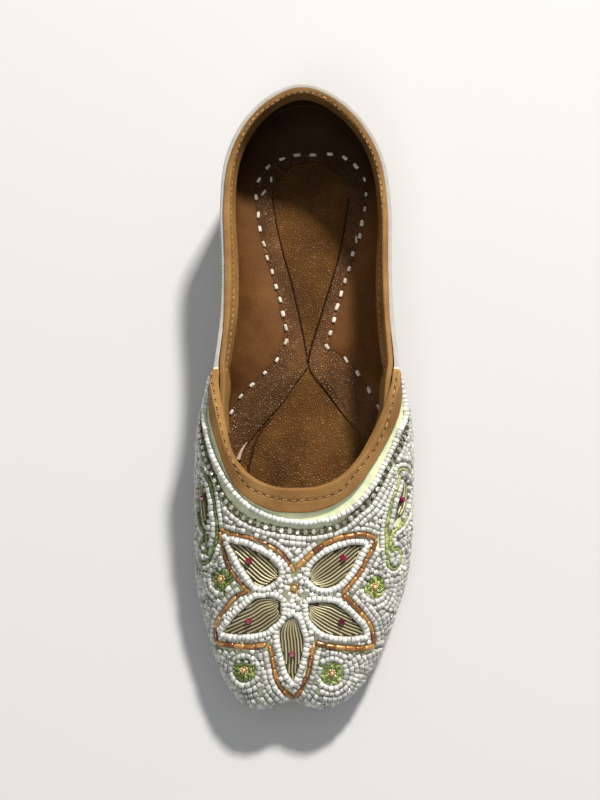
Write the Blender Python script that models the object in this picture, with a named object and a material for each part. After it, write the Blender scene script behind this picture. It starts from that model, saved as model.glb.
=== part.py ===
"""A left mojari (jutti): flat leather sole, hollow stitched upper, insole and leather bindings.

Sizes are in millimetres up to the last step, which makes metres of them. "At" is the distance
from the back of the heel towards the toe, "half" is half a width, and "up" is a height.
The toe points to -Y, and the medial side, to which the toe curves, is at -X.
"""

import functools
import math

import bmesh
import bpy
import numpy as np

MM = 0.001
LENGTH = 250.0  # heel to toe with the beadwork, a woman's size 38
HEEL_Y = 124.61  # where the back of the heel lies, so that the origin is midway
SIDE_SHIFT = 0.18  # the same across the shoe, whose toe leans to one side

GAP = 0.3  # between two pieces that meet
CURVED_GAP = 0.4  # the same under a binding, where both faces bend
WALL = 1.8  # upper leather with its lining
VAMP_STEP = 1.4  # the beaded vamp lies over the quarters and stands out by this much
VAMP_THIN = 0.7  # the share of that which has gone at the throat's edge, where no beads lie
VAMP_THIN_FROM = 14.0  # from this far below the edge
SEAM_AT = 117.8  # side seam, where the vamp begins
SEAM_RAMP = 1.0  # its skived edge

SOLE_THICK = 4.2
SOLE_EDGE = 1.0  # how far the sole stands out past the foot of the upper
SOLE_BREAK = 0.6  # the rounded corners of the sole's edge
HEEL_LIFT = 5.8
HEEL_BREAST_AT = 54.0
HEEL_BREAST_RUN = 2.0
HEEL_INSET = 0.7  # the heel stands in from the sole's edge
ARCH_END_AT = 146.0
SPRING_AT = 186.0
TOE_SPRING = 5.0
SPINE = (40.0, 150.0)  # every rib of the last faces the line between these two places

INSOLE_THICK = 1.4
INSOLE_CLEAR = 0.4
MARGIN_THICK = 1.2
MARGIN_CLEAR = 0.5
MARGIN_END_AT = 149.0

THROAT_BIND_THICK = 1.1
THROAT_BIND_TIP = 1.4  # its width on the vamp at the ears' tips, at the ears and at the middle
THROAT_BIND_EAR = 5.2
THROAT_BIND_MIDDLE = 8.0
THROAT_BIND_GROWTH = (2.2, 1.5)  # how late it widens, on the medial side and on the other
EAR_RUN = 7.0  # from the tip of an ear to its full width
COLLAR_BIND_THICK = 2.1
COLLAR_BIND_DEEP = 7.8
COLLAR_BIND_PROUD = 1.0
COLLAR_BIND_CAP = 0.4  # how far it lies out towards the edge of the wall
COLLAR_BIND_LOOSE = 0.6  # its lower edge stands off the wall
TAB_END_AT = 145.0
TAB_DIP = 3.0  # how far the collar binding has sunk below the throat where its tab ends
TAB_LEAN = 24.0  # the free tab leans out from upright by this many degrees
TAB_FREE_RUN = 9.0  # past the seam, the tab has come free of the wall

RIB_COUNT = 92
LOW_STEPS = 3
HIGH_STEPS = 8
SOLE_RINGS = 3
PROBE = 0.02  # step, in ribs, between the two places that give a direction

# One row for each rib of one side, from the heel's back to the middle of the toe.
# foot: where the upper meets the sole.  side: the widest place, and its lean out in degrees.
# top: the upper edge, and the slope there from upright towards the spine, in degrees.
# rise and crown: how far the wall keeps its direction above the side and below the top.
RIB_COLUMNS = (
    "foot_at", "foot_half", "side_at", "side_half", "side_up", "lean",
    "top_at", "top_half", "top_up", "slope", "rise", "crown",
)
RIBS = {
    "heel back":    (4.4, 0.0, 0.7, 0.0, 22.0, 0, 2.6, 0.0, 47.6, 8, 8, 8),
    "heel turn":    (8.0, 12.2, 4.6, 13.2, 22.0, 0, 6.9, 12.4, 47.0, 5, 8, 8),
    "heel corner":  (18.0, 21.6, 15.2, 23.8, 22.0, 3, 17.0, 23.7, 45.4, 0, 8, 7),
    "heel wide":    (33.5, 25.8, 32.5, 30.8, 22.0, 7, 33.0, 32.0, 42.6, -7, 7, 6),
    "seat front":   (54.0, 25.0, 54.0, 32.2, 23.0, 11, 54.0, 34.4, 40.2, -14, 6, 5),
    "waist back":   (76.0, 21.8, 76.0, 30.4, 25.0, 15, 76.0, 33.9, 38.8, -18, 5, 5),
    "waist":        (98.0, 20.8, 98.0, 30.8, 25.5, 15, 98.0, 34.3, 38.4, -18, 5, 5),
    "side seam":    (119.0, 26.0, 119.0, 33.6, 23.5, 12, 119.0, 36.2, 39.6, -16, 5, 5),
    "ball back":    (137.0, 33.4, 137.0, 39.6, 18.5, 0, 133.0, 34.4, 40.4, 26, 8, 5),
    "ball middle":  (156.0, 37.4, 156.0, 40.4, 15.0, 0, 145.0, 30.7, 40.4, 44, 9, 6),
    "ball front":   (177.0, 38.4, 177.0, 40.3, 13.0, 0, 155.0, 26.6, 39.8, 54, 9, 9),
    "toe side":     (197.0, 36.6, 197.0, 38.8, 12.2, 0, 161.8, 21.3, 39.0, 60, 9, 14),
    "toe turn":     (215.5, 31.4, 216.0, 33.6, 12.0, 0, 165.6, 16.4, 38.4, 64, 9, 20),
    "toe bend":     (230.0, 25.0, 232.0, 27.6, 12.4, 0, 167.6, 12.0, 38.0, 66, 9, 26),
    "toe corner":   (240.0, 17.6, 243.4, 20.4, 12.8, 0, 168.8, 7.9, 37.8, 67, 8, 30),
    "toe lobe":     (243.0, 9.0, 247.2, 11.4, 13.2, 0, 169.2, 3.9, 37.7, 68, 8, 32),
    "toe notch":    (243.6, 0.0, 245.2, 0.0, 13.4, 0, 169.2, 0.0, 37.7, 68, 8, 32),
}

# The line midway between the two sides: at, its x low down, its x at the top edge.
MIDLINE = (
    (0.0, 2.4, -1.0),
    (40.0, 2.8, 0.2),
    (62.0, 3.0, 0.7),
    (86.0, 2.1, 1.0),
    (109.0, 0.5, 0.9),
    (150.0, 0.0, 0.0),
    (187.0, -0.6, -0.6),
    (206.0, -1.6, -1.6),
    (220.0, -2.4, -2.4),
    (234.0, -3.3, -3.3),
    (250.0, -5.0, -5.0),
)

# The throat's edge leans to the medial side: place of the edge, and by how much.
THROAT_LEAN = (
    (122.0, 0.0),
    (130.0, -0.5),
    (138.0, -0.9),
    (145.0, -1.6),
    (152.0, -2.6),
    (160.0, -3.1),
    (172.0, -3.1),
)

# Free edge of the stitched lining margin: at, how far it lies from the midline.
MARGIN_EDGE = (
    (20.0, 10.0),
    (26.0, 13.6),
    (40.0, 16.0),
    (60.0, 12.3),
    (86.0, 6.0),
    (106.0, 0.9),
    (109.0, 0.4),
    (112.0, 1.6),
    (138.0, 19.5),
    (149.0, 25.5),
)


def clear_scene():
    for old in list(bpy.data.objects):
        bpy.data.objects.remove(old, do_unlink=True)


def eased(place, start, end):
    """0 before start, 1 after end, and a smooth slope between them."""
    share = min(max((place - start) / (end - start), 0.0), 1.0)
    return share * share * (3 - 2 * share)


def read_table(table, at, column=1):
    rows = np.array(table)
    return float(np.interp(at, rows[:, 0], rows[:, column]))


def midline(at, column):
    """The midline's x, rounded off between the table's rows."""
    around = (-6.0, -3.0, 0.0, 3.0, 6.0)
    mean = sum(read_table(MIDLINE, at + step, column) for step in around) / len(around)
    return mean + SIDE_SHIFT


def sole_base(at):
    """Height of the sole's underside without its heel: arch, flat tread and toe spring."""
    arch = HEEL_LIFT * (1 - eased(at, HEEL_BREAST_AT - 12, ARCH_END_AT))
    reach = max(at - SPRING_AT, 0.0) / (LENGTH - SPRING_AT)
    return arch + TOE_SPRING * reach**1.8


def sole_top(at):
    return sole_base(at) + SOLE_THICK


def column_value(name, rib):
    """A column of RIBS at a rib number that may lie between two rows, on either side."""
    values = [row[RIB_COLUMNS.index(name)] for row in RIBS.values()]
    last = len(values) - 1
    turn = 2 * last
    odd = name.endswith("half")

    def row_value(index):
        index %= turn
        if index <= last:
            return values[index]
        return -values[turn - index] if odd else values[turn - index]

    low = math.floor(rib)
    share = rib - low
    before, start, end, after = (row_value(low + step) for step in (-1, 0, 1, 2))
    curve = 2 * start + (end - before) * share
    curve += (2 * before - 5 * start + 4 * end - after) * share**2
    curve += (3 * start - before - 3 * end + after) * share**3
    return curve / 2


TURN = 2 * (len(RIBS) - 1)


def rib_at(place, column="foot_at"):
    """The rib number of the left side whose column has this value."""
    ribs = np.linspace(0, TURN / 2 - 2, 400)
    return float(np.interp(place, [column_value(column, rib) for rib in ribs], ribs))


def rib_points(rib):
    """Foot, side and top of a rib, with the direction from the side to the spine."""
    value = {name: column_value(name, rib) for name in RIB_COLUMNS}
    foot_x = midline(value["foot_at"], 1) - value["foot_half"]
    low_x = midline(value["side_at"], 1) - value["side_half"]
    high_x = midline(value["side_at"], 2) - value["side_half"]
    top_x = midline(value["top_at"], 2) + read_table(THROAT_LEAN, value["top_at"])
    top_x -= value["top_half"]
    foot = np.array((foot_x, HEEL_Y - value["foot_at"], sole_top(value["foot_at"]) + GAP))
    side = np.array(((low_x + high_x) / 2, HEEL_Y - value["side_at"], value["side_up"]))
    top = np.array((top_x, HEEL_Y - value["top_at"], value["top_up"]))
    spine_at = min(max(value["side_at"], SPINE[0]), SPINE[1])
    inward = np.array((midline(spine_at, 1), HEEL_Y - spine_at, side[2])) - side
    return foot, side, top, inward / np.linalg.norm(inward), value


def bezier(points, share):
    a, b, c, d = points
    rest = 1 - share
    return a * rest**3 + 3 * b * rest**2 * share + 3 * c * rest * share**2 + d * share**3


@functools.cache
def rib_line(rib):
    """The rib's curve from foot to top, as a row of points."""
    foot, side, top, inward, value = rib_points(rib)
    up = np.array((0.0, 0.0, 1.0))
    lean = math.radians(value["lean"])
    slope = math.radians(value["slope"])
    side_way = -inward * math.sin(lean) + up * math.cos(lean)
    top_way = inward * math.sin(slope) + up * math.cos(slope)
    below = np.linalg.norm(side - foot) * 0.45
    foot_way = (side - foot) * (1, 1, 0.35)
    foot_way = foot_way / np.linalg.norm(foot_way)
    low = (foot, foot + foot_way * below, side - side_way * below, side)
    high = (side, side + side_way * value["rise"], top - top_way * value["crown"], top)
    lower = [bezier(low, step / LOW_STEPS) for step in range(LOW_STEPS)]
    upper = [bezier(high, (step / HIGH_STEPS) ** 1.25) for step in range(HIGH_STEPS + 1)]
    return np.array(lower + upper)


@functools.cache
def rib_normals(rib):
    """Outward directions at the points of a rib."""
    line = rib_line(rib)
    along = rib_line(rib + PROBE) - rib_line(rib - PROBE)
    climb = np.gradient(line, axis=0)
    normals = np.cross(along, climb)
    normals /= np.linalg.norm(normals, axis=1)[:, None]
    return line, normals


def level_foot(normal):
    """The normal at a rib's foot, laid level so that the wall's edge rests flat on the sole."""
    flat = normal * (1, 1, 0)
    return flat / np.linalg.norm(flat)


def below_top(rib, distance, offset):
    """The place this far down a rib from its top edge, and this far out from the last."""
    line, normals = rib_normals(rib)
    steps = np.linalg.norm(np.diff(line[::-1], axis=0), axis=1)
    run = np.concatenate(([0.0], np.cumsum(steps)))
    back = line[::-1]
    if distance < 0:
        way = (back[0] - back[1]) / steps[0]
        return back[0] - way * distance + normals[-1] * offset
    place = np.array([np.interp(distance, run, back[:, axis]) for axis in range(3)])
    out = np.array([np.interp(distance, run, normals[::-1, axis]) for axis in range(3)])
    return place + out / np.linalg.norm(out) * offset


def vamp_steps(rib):
    """How far the vamp stands out at the points of a rib, and each one's distance from the top."""
    line, _ = rib_normals(rib)
    steps = np.linalg.norm(np.diff(line, axis=0), axis=1)
    down = np.concatenate((np.cumsum(steps[::-1])[::-1], [0.0]))
    share = min(max((column_value("foot_at", rib) - SEAM_AT) / SEAM_RAMP, 0.0), 1.0)
    thin = np.array([VAMP_THIN * (1 - eased(place, 0.0, VAMP_THIN_FROM)) for place in down])
    return VAMP_STEP * share * (1 - thin), down


def vamp_step(rib, distance):
    """How far the vamp stands out at this distance below its top edge."""
    steps, down = vamp_steps(rib)
    return float(np.interp(distance, down[::-1], steps[::-1]))


@functools.cache
def even_ribs():
    """Rib numbers evenly spaced along the widest line, alike on both sides of the spine.

    Some are kept for the ends of the side seam's step and of the heel breast.
    """
    fine = np.linspace(0, TURN / 2, 500)
    line = np.array([rib_points(rib)[1] for rib in fine])
    run = np.concatenate(([0.0], np.cumsum(np.linalg.norm(np.diff(line, axis=0), axis=1))))
    ribs = list(np.interp(np.linspace(0, run[-1], RIB_COUNT // 2 + 1), run, fine))
    places = (SEAM_AT, SEAM_AT + SEAM_RAMP, HEEL_BREAST_AT, HEEL_BREAST_AT + HEEL_BREAST_RUN)
    kept = [rib_at(place) for place in places]
    clear = [rib for rib in ribs if min(abs(rib - other) for other in kept) > 0.12]
    left = sorted(clear + kept)
    return left + [TURN - rib for rib in reversed(left[1:-1])]


def make_object(name, mesh, colour, roughness, metallic=0.0):
    material = bpy.data.materials.new(name)
    material.use_nodes = True
    shader = material.node_tree.nodes["Principled BSDF"]
    shader.inputs["Base Color"].default_value = (*colour, 1.0)
    shader.inputs["Roughness"].default_value = roughness
    shader.inputs["Metallic"].default_value = metallic
    data = bpy.data.meshes.new(name)
    bmesh.ops.recalc_face_normals(mesh, faces=mesh.faces)
    mesh.to_mesh(data)
    mesh.free()
    data.materials.append(material)
    data.shade_smooth()
    data.set_sharp_from_angle(angle=math.radians(35))
    piece = bpy.data.objects.new(name, data)
    bpy.context.collection.objects.link(piece)
    return piece


def skin(sections, closed_run):
    """A bmesh over closed sections, each one run of points and then an equal run back.

    Unless the run of sections closes on itself, its ends are capped across the two runs.
    """
    mesh = bmesh.new()
    rings = [[mesh.verts.new(point * MM) for point in section] for section in sections]
    pairs = list(zip(rings, rings[1:]))
    if closed_run:
        pairs.append((rings[-1], rings[0]))
    for ring, following in pairs:
        for corner in range(len(ring)):
            after = (corner + 1) % len(ring)
            mesh.faces.new((ring[corner], ring[after], following[after], following[corner]))
    for ring in () if closed_run else (rings[0], rings[-1]):
        for corner in range(len(ring) // 2 - 1):
            across = -1 - corner
            mesh.faces.new((ring[corner], ring[corner + 1], ring[across - 1], ring[across]))
    bmesh.ops.triangulate(mesh, faces=mesh.faces)
    return mesh


def make_upper():
    """One wall from foot to top edge, all the way round, with the vamp as a step outwards."""
    sections = []
    for rib in even_ribs():
        line, normals = rib_normals(rib)
        normals = np.concatenate(([level_foot(normals[0])], normals[1:]))
        outer = line + normals * vamp_steps(rib)[0][:, None]
        inner = line - normals * WALL
        sections.append(np.concatenate((outer, inner[::-1])))
    mesh = skin(sections, closed_run=True)
    make_object("upper", mesh, (0.56, 0.57, 0.44), 0.55)


def foot_outline(rib, out):
    """A point of the sole's outline: the foot of the upper moved level by this much."""
    line, normals = rib_normals(rib)
    return line[0] + level_foot(normals[0]) * out


def spine_point(rib):
    at = min(max(column_value("foot_at", rib), SPINE[0]), SPINE[1])
    return np.array((midline(at, 1), HEEL_Y - at, 0.0))


def make_plate(name, levels, colour, roughness):
    """A plate with the foot's outline. A level is how far out it lies and its height at a place."""
    sections = []
    (low_out, low_up), (high_out, high_up) = levels[0], levels[-1]

    def across(rib, out, height):
        edge = foot_outline(rib, out)
        middle = spine_point(rib)
        rings = [edge + (middle - edge) * step / SOLE_RINGS for step in range(SOLE_RINGS + 1)]
        return [np.array((x, y, height(HEEL_Y - y))) for x, y, _ in rings]

    for rib in even_ribs():
        rim = [foot_outline(rib, out) for out, _ in levels[1:-1]]
        sides = [np.array((x, y, up(HEEL_Y - y))) for (x, y, _), (_, up) in zip(rim, levels[1:-1])]
        below = across(rib, low_out, low_up)[::-1]
        above = across(rib, high_out, high_up)
        sections.append(below + sides + above)
    mesh = bmesh.new()
    rows = [[mesh.verts.new(point * MM) for point in section] for section in sections]
    for row, following in zip(rows, rows[1:] + rows[:1]):
        for step in range(len(row) - 1):
            mesh.faces.new((row[step], row[step + 1], following[step + 1], following[step]))
    bmesh.ops.remove_doubles(mesh, verts=mesh.verts, dist=0.02 * MM)
    bmesh.ops.dissolve_degenerate(mesh, edges=mesh.edges, dist=0.001 * MM)
    bmesh.ops.triangulate(mesh, faces=mesh.faces)
    make_object(name, mesh, colour, roughness)


def make_outsole():
    """Flat sole with a low heel, an arch, a flat tread and toe spring."""

    def tread(at):
        heel = 1 - min(max((at - HEEL_BREAST_AT) / HEEL_BREAST_RUN, 0.0), 1.0)
        return sole_base(at) * (1 - heel)

    levels = (
        (SOLE_EDGE - HEEL_INSET, tread),
        (SOLE_EDGE, lambda at: sole_base(at) + SOLE_BREAK),
        (SOLE_EDGE, lambda at: sole_top(at) - SOLE_BREAK),
        (SOLE_EDGE - SOLE_BREAK, sole_top),
    )
    make_plate("outsole", levels, (0.19, 0.11, 0.055), 0.6)


def make_insole():
    edge = -(WALL + INSOLE_CLEAR)
    levels = (
        (edge, lambda at: sole_top(at) + GAP),
        (edge, lambda at: sole_top(at) + GAP + INSOLE_THICK),
    )
    make_plate("insole", levels, (0.122, 0.054, 0.018), 0.5)


def make_lining_margin():
    """The lining's turned-in margin, stitched flat on the insole from the waist round the heel."""
    bottom = 2 * GAP + INSOLE_THICK
    ends = rib_at(MARGIN_END_AT)
    ribs = [rib - TURN for rib in even_ribs() if rib > TURN - ends + 0.1]
    ribs = [-ends] + ribs + [rib for rib in even_ribs() if rib < ends - 0.1] + [ends]
    sections = []
    for rib in ribs:
        outer = foot_outline(rib, -(WALL + MARGIN_CLEAR))
        middle = spine_point(rib)
        way = (middle - outer) * (1, 1, 0)
        reach = np.linalg.norm(way)
        at = column_value("foot_at", rib)
        if at >= SPINE[0]:
            free = read_table(MARGIN_EDGE, at)
        else:
            turn = math.acos(min(max(way[1] / -reach, -1.0), 1.0)) / (math.pi / 2)
            free = read_table(MARGIN_EDGE, SPINE[0]) + 1.5 * (1 - turn)
        inner = outer + way * (1 - free / reach)
        plan = [outer + (inner - outer) * share for share in (0.0, 0.5, 1.0)]
        low = [np.array((x, y, sole_top(HEEL_Y - y) + bottom)) for x, y, _ in plan]
        high = [point + (0, 0, MARGIN_THICK) for point in low[::-1]]
        sections.append(np.array(low + high))
    mesh = skin(sections, closed_run=False)
    make_object("lining_margin", mesh, (0.125, 0.065, 0.03), 0.45)


def make_throat_binding():
    """Leather folded over the throat edge, from ear to ear: a flange on the vamp and a lip."""
    first = rib_at(SEAM_AT + SEAM_RAMP)
    middle = TURN / 2
    ribs = [rib for rib in even_ribs() if first <= rib <= TURN - first]
    sections = []
    for rib in ribs:
        share = eased(abs(rib - middle), middle - first, 1.0)
        share = share ** THROAT_BIND_GROWTH[0 if rib < middle else 1]
        width = THROAT_BIND_EAR + (THROAT_BIND_MIDDLE - THROAT_BIND_EAR) * share
        at = column_value("foot_at", rib)
        width += (THROAT_BIND_TIP - width) * (1 - eased(at, SEAM_AT, SEAM_AT + EAR_RUN))
        lip = CURVED_GAP + THROAT_BIND_THICK
        flange = (width, width * 0.66, width * 0.33)
        low = vamp_step(rib, 0) + CURVED_GAP
        high = low + THROAT_BIND_THICK
        under = [(down, vamp_step(rib, down) + CURVED_GAP) for down in flange]
        under += [(-CURVED_GAP, low), (-CURVED_GAP, 0), (-CURVED_GAP, -WALL)]
        over = [(down, out + THROAT_BIND_THICK) for down, out in under[:3]]
        over += [(0.5 - lip, high), (-lip, high - 0.4), (-lip, -WALL)]
        profile = under + over[::-1]
        sections.append(np.array([below_top(rib, down, out) for down, out in profile]))
    mesh = skin(sections, closed_run=False)
    make_object("throat_binding", mesh, (0.35, 0.18, 0.06), 0.4)


def make_collar_binding():
    """Leather strip inside the quarters' edge, round the heel, with a tab under each vamp side."""
    last = rib_at(TAB_END_AT, "top_at")
    seam = rib_at(SEAM_AT)
    ribs = [rib - TURN for rib in even_ribs() if rib > TURN - last + 0.1]
    ribs = [-last] + ribs + [rib for rib in even_ribs() if rib < last - 0.1] + [last]
    near = -(WALL + CURVED_GAP)
    far = near - COLLAR_BIND_THICK
    up = np.array((0.0, 0.0, 1.0))
    sections = []
    for rib in ribs:
        capped = 1 - eased(abs(rib), seam - 1.3, seam - 0.8)
        lowered = eased(abs(rib), seam - 0.8, seam - 0.3)
        dip = TAB_DIP * eased(abs(rib), seam - 0.3, last)
        cap = near + COLLAR_BIND_CAP * capped
        rest = dip - GAP + 2 * GAP * lowered
        top = dip - COLLAR_BIND_PROUD * (1 - lowered)
        deep = dip + COLLAR_BIND_DEEP
        half_deep = (deep + dip) / 2
        outer = [(deep, near - COLLAR_BIND_LOOSE), (half_deep, near - COLLAR_BIND_LOOSE / 3)]
        outer += [(rest, near)]
        outer += [((rest + top) / 2, cap), (top, cap)]
        inner = [(deep, far - COLLAR_BIND_LOOSE), (half_deep, far - COLLAR_BIND_LOOSE / 3)]
        inner += [(top + 0.9, far)]
        inner += [(top + 0.3, far + 0.2), (top, far + 0.6)]
        profile = outer + inner[::-1]
        on_wall = np.array([below_top(rib, down, out) for down, out in profile])
        inward = rib_points(rib)[3] * (1, 1, 0)
        lean = math.radians(TAB_LEAN)
        downward = inward * math.sin(lean) - up * math.cos(lean)
        across = inward * math.cos(lean) + up * math.sin(lean)
        corner = below_top(rib, rest, near - GAP)
        places = [downward * (down - rest) + across * (near - out) for down, out in profile]
        free = eased(column_value("foot_at", rib), SEAM_AT - 1, SEAM_AT + TAB_FREE_RUN)
        sections.append(on_wall + (corner + places - on_wall) * free)
    mesh = skin(sections, closed_run=False)
    make_object("collar_binding", mesh, (0.35, 0.18, 0.06), 0.4)


clear_scene()
make_outsole()
make_insole()
make_lining_margin()
make_upper()
make_throat_binding()
make_collar_binding()
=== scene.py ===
# %% [markdown]
# # A beaded mojari, dressed over its CAD solids
# A mojari is a flat slip-on shoe: a leather sole, a soft upper lined with leather, leather strips
# that bind its open edges, and a vamp covered with glass beads on silk. The CAD solids carry the
# true shape of the last. This lesson keeps their places and adds what a maker adds by hand:
# cloth, grain, thread, beads, wire and stones. Lengths are in millimetres until a mesh is made.

# %% Load the frame
import math
import random
import bmesh
import bpy
import numpy as np
from mathutils import Matrix, Vector
from mathutils.bvhtree import BVHTree
from mathutils.kdtree import KDTree


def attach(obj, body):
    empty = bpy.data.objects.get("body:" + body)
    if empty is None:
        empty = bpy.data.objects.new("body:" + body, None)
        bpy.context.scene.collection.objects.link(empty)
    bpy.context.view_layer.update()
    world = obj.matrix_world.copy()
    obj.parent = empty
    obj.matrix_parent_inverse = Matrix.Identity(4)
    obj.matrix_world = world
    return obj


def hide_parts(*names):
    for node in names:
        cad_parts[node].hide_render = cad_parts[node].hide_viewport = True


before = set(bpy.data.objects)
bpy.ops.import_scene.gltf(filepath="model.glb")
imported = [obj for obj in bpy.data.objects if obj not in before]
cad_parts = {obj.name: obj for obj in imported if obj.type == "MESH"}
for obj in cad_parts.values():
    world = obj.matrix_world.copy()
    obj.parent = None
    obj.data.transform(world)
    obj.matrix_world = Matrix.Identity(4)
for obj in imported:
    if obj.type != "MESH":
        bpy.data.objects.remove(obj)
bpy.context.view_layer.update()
MM = 0.001


def put(name, data):
    """A new object with this data, linked to the scene."""
    made = bpy.data.objects.new(name, data)
    bpy.context.scene.collection.objects.link(made)
    return made


def clamped(value, low=0.0, high=1.0):
    """The value, kept between two limits."""
    return min(max(value, low), high)


print("solids:", sorted(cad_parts))

# %% [markdown]
# ## Camera
# The photograph looks down at 75 degrees with the toe towards the viewer. A long lens far away
# keeps the heel and the toe at nearly one scale, so the distance was solved first, from how much
# smaller the heel end looks, and the lens then follows from the shoe's length.

# %% Camera at the photograph's angle
CAMERA_TARGET = Vector((-1.6, -3.1, 20.0)) * MM
CAMERA_FAR = 0.8
CAMERA_RISE = math.radians(75)
CAMERA_LENS = 89.87

camera = put("camera", bpy.data.cameras.new("camera"))
camera.data.sensor_fit = "VERTICAL"
camera.data.sensor_height = 36
camera.data.lens = CAMERA_LENS
camera.data.clip_start = 0.05
camera.location = CAMERA_TARGET + CAMERA_FAR * Vector(
    (0, -math.cos(CAMERA_RISE), math.sin(CAMERA_RISE)))
camera.rotation_euler = (math.radians(90) - CAMERA_RISE, 0, 0)
bpy.context.scene.camera = camera
print("camera at", tuple(round(c, 3) for c in camera.location))

# %% [markdown]
# ## Light
# The shadow that the heel's rim throws on the insole is as long as the rim is high, and it falls
# towards the toe and the medial side. So the main light stands behind the heel, a little to the
# right, at about 45 degrees. It is a small panel, because the shadow's edge is only a millimetre
# soft. A weak panel in front and a pale surrounding fill the shadows, as a white studio does.

# %% Panels and surrounding
PANEL_FAR = 2.6


def light_panel(name, towards, size, power, warmth):
    """A square panel that shines at the shoe from a direction."""
    lamp = bpy.data.lights.new(name, "AREA")
    lamp.shape = "SQUARE"
    lamp.size = size
    lamp.energy = power
    lamp.color = warmth
    holder = put(name, lamp)
    direction = Vector(towards).normalized()
    holder.location = direction * PANEL_FAR
    holder.rotation_euler = direction.to_track_quat("Z", "Y").to_euler()


light_panel("key_panel", (0.42, 1.0, 1.0), 0.28, 122, (1.0, 0.97, 0.93))
light_panel("front_panel", (-0.2, -0.6, 1.0), 0.9, 15, (0.97, 0.98, 1.0))
surrounding = bpy.data.worlds.new("studio")
surrounding.use_nodes = True
background = surrounding.node_tree.nodes["Background"]
background.inputs["Color"].default_value = (0.92, 0.95, 1.0, 1)
background.inputs["Strength"].default_value = 0.33
bpy.context.scene.world = surrounding
bpy.context.scene.view_settings.view_transform = "Standard"

# %% [markdown]
# ## Small shader helpers
# Every material below is a Principled BSDF fed by a few texture nodes. These helpers only save
# typing: they make a node, a sum, a material with its shader at hand, a node group with named
# sockets, a ramp and a bump. Groups put out heights and masks, and the shader stays outside them.

# %% Node helpers
def add_node(tree, kind, inputs=None, **settings):
    """A node of this kind, with its settings, and with values or links for its inputs."""
    node = tree.nodes.new("ShaderNode" + kind)
    for key, value in settings.items():
        setattr(node, key, value)
    for key, value in (inputs or {}).items():
        if isinstance(value, bpy.types.NodeSocket):
            tree.links.new(value, node.inputs[key])
        else:
            node.inputs[key].default_value = value
    return node


def calc(tree, operation, *values):
    """The result of a Math node for these values or links."""
    return add_node(tree, "Math", dict(enumerate(values)), operation=operation).outputs[0]


def new_material(name, roughness, **constants):
    """A material, its tree and its Principled shader with constant values set."""
    material = bpy.data.materials.new(name)
    material.use_nodes = True
    tree = material.node_tree
    shader = tree.nodes["Principled BSDF"]
    shader.inputs["Roughness"].default_value = roughness
    for key, value in constants.items():
        shader.inputs[key.replace("_", " ")].default_value = value
    return material, tree, shader


def new_group(name, sockets_in, sockets_out):
    """An empty node group with number sockets, and its end nodes."""
    tree = bpy.data.node_groups.new(name, "ShaderNodeTree")
    for label, start in sockets_in.items():
        socket = tree.interface.new_socket(label, in_out="INPUT", socket_type="NodeSocketFloat")
        socket.default_value = start
    for label in sockets_out:
        tree.interface.new_socket(label, in_out="OUTPUT", socket_type="NodeSocketFloat")
    entry = tree.nodes.new("NodeGroupInput")
    leave = tree.nodes.new("NodeGroupOutput")
    return tree, entry, leave


# %% Helpers that use a group, a ramp and a bump
def use_group(tree, group, **values):
    """The group placed in a material with this material's own values."""
    node = tree.nodes.new("ShaderNodeGroup")
    node.node_tree = group
    for key, value in values.items():
        node.inputs[key.replace("_", " ")].default_value = value
    return node


def ramp(tree, factor, *stops):
    """A colour ramp over a factor. Each stop is a place and a colour."""
    node = add_node(tree, "ValToRGB", {0: factor})
    elements = node.color_ramp.elements
    while len(elements) < len(stops):
        elements.new(0.5)
    for element, (place, colour) in zip(elements, stops):
        element.position = place
        element.color = (*colour, 1)
    return node.outputs["Color"]


def bump(tree, shader, height, strength, distance):
    """Feeds a height to the shader's normal. The distance is in metres."""
    node = add_node(tree, "Bump", {"Height": height, "Strength": strength, "Distance": distance})
    tree.links.new(node.outputs["Normal"], shader.inputs["Normal"])


# %% [markdown]
# ## Leather grain, cloth weave and handling marks
# Leather grain is a net of small raised cells with creases between them, so Voronoi cells with a
# finer noise on them make it. Plain weave is two crossing sets of threads, and sines along the
# object's axes are enough at this scale. Handling marks are slow noise, a random mottle of tone.

# %% Group: leather grain
def make_grain_group():
    """Height of a pebbled leather grain, and a slow mottle."""
    tree, entry, leave = new_group(
        "leather grain", {"Cells per metre": 900.0, "Mottle per metre": 60.0}, ("Height", "Mottle"))
    place = add_node(tree, "TexCoord").outputs["Object"]
    cells = add_node(tree, "TexVoronoi", {"Vector": place, "Scale": entry.outputs[0],
                                          "Randomness": 0.9}, feature="DISTANCE_TO_EDGE")
    round_cells = add_node(tree, "MapRange", {0: cells.outputs["Distance"], 1: 0.0, 2: 0.32})
    fine = calc(tree, "MULTIPLY", entry.outputs[0], 2.7)
    noise = add_node(tree, "TexNoise", {"Vector": place, "Scale": fine, "Detail": 2.0})
    mixed = calc(tree, "MULTIPLY_ADD", noise.outputs["Fac"], 0.45, round_cells.outputs[0])
    slow = add_node(tree, "TexNoise", {"Vector": place, "Scale": entry.outputs[1],
                                       "Detail": 4.0, "Roughness": 0.6})
    tree.links.new(mixed, leave.inputs[0])
    tree.links.new(slow.outputs["Fac"], leave.inputs[1])
    return tree


leather_grain = make_grain_group()

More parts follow.
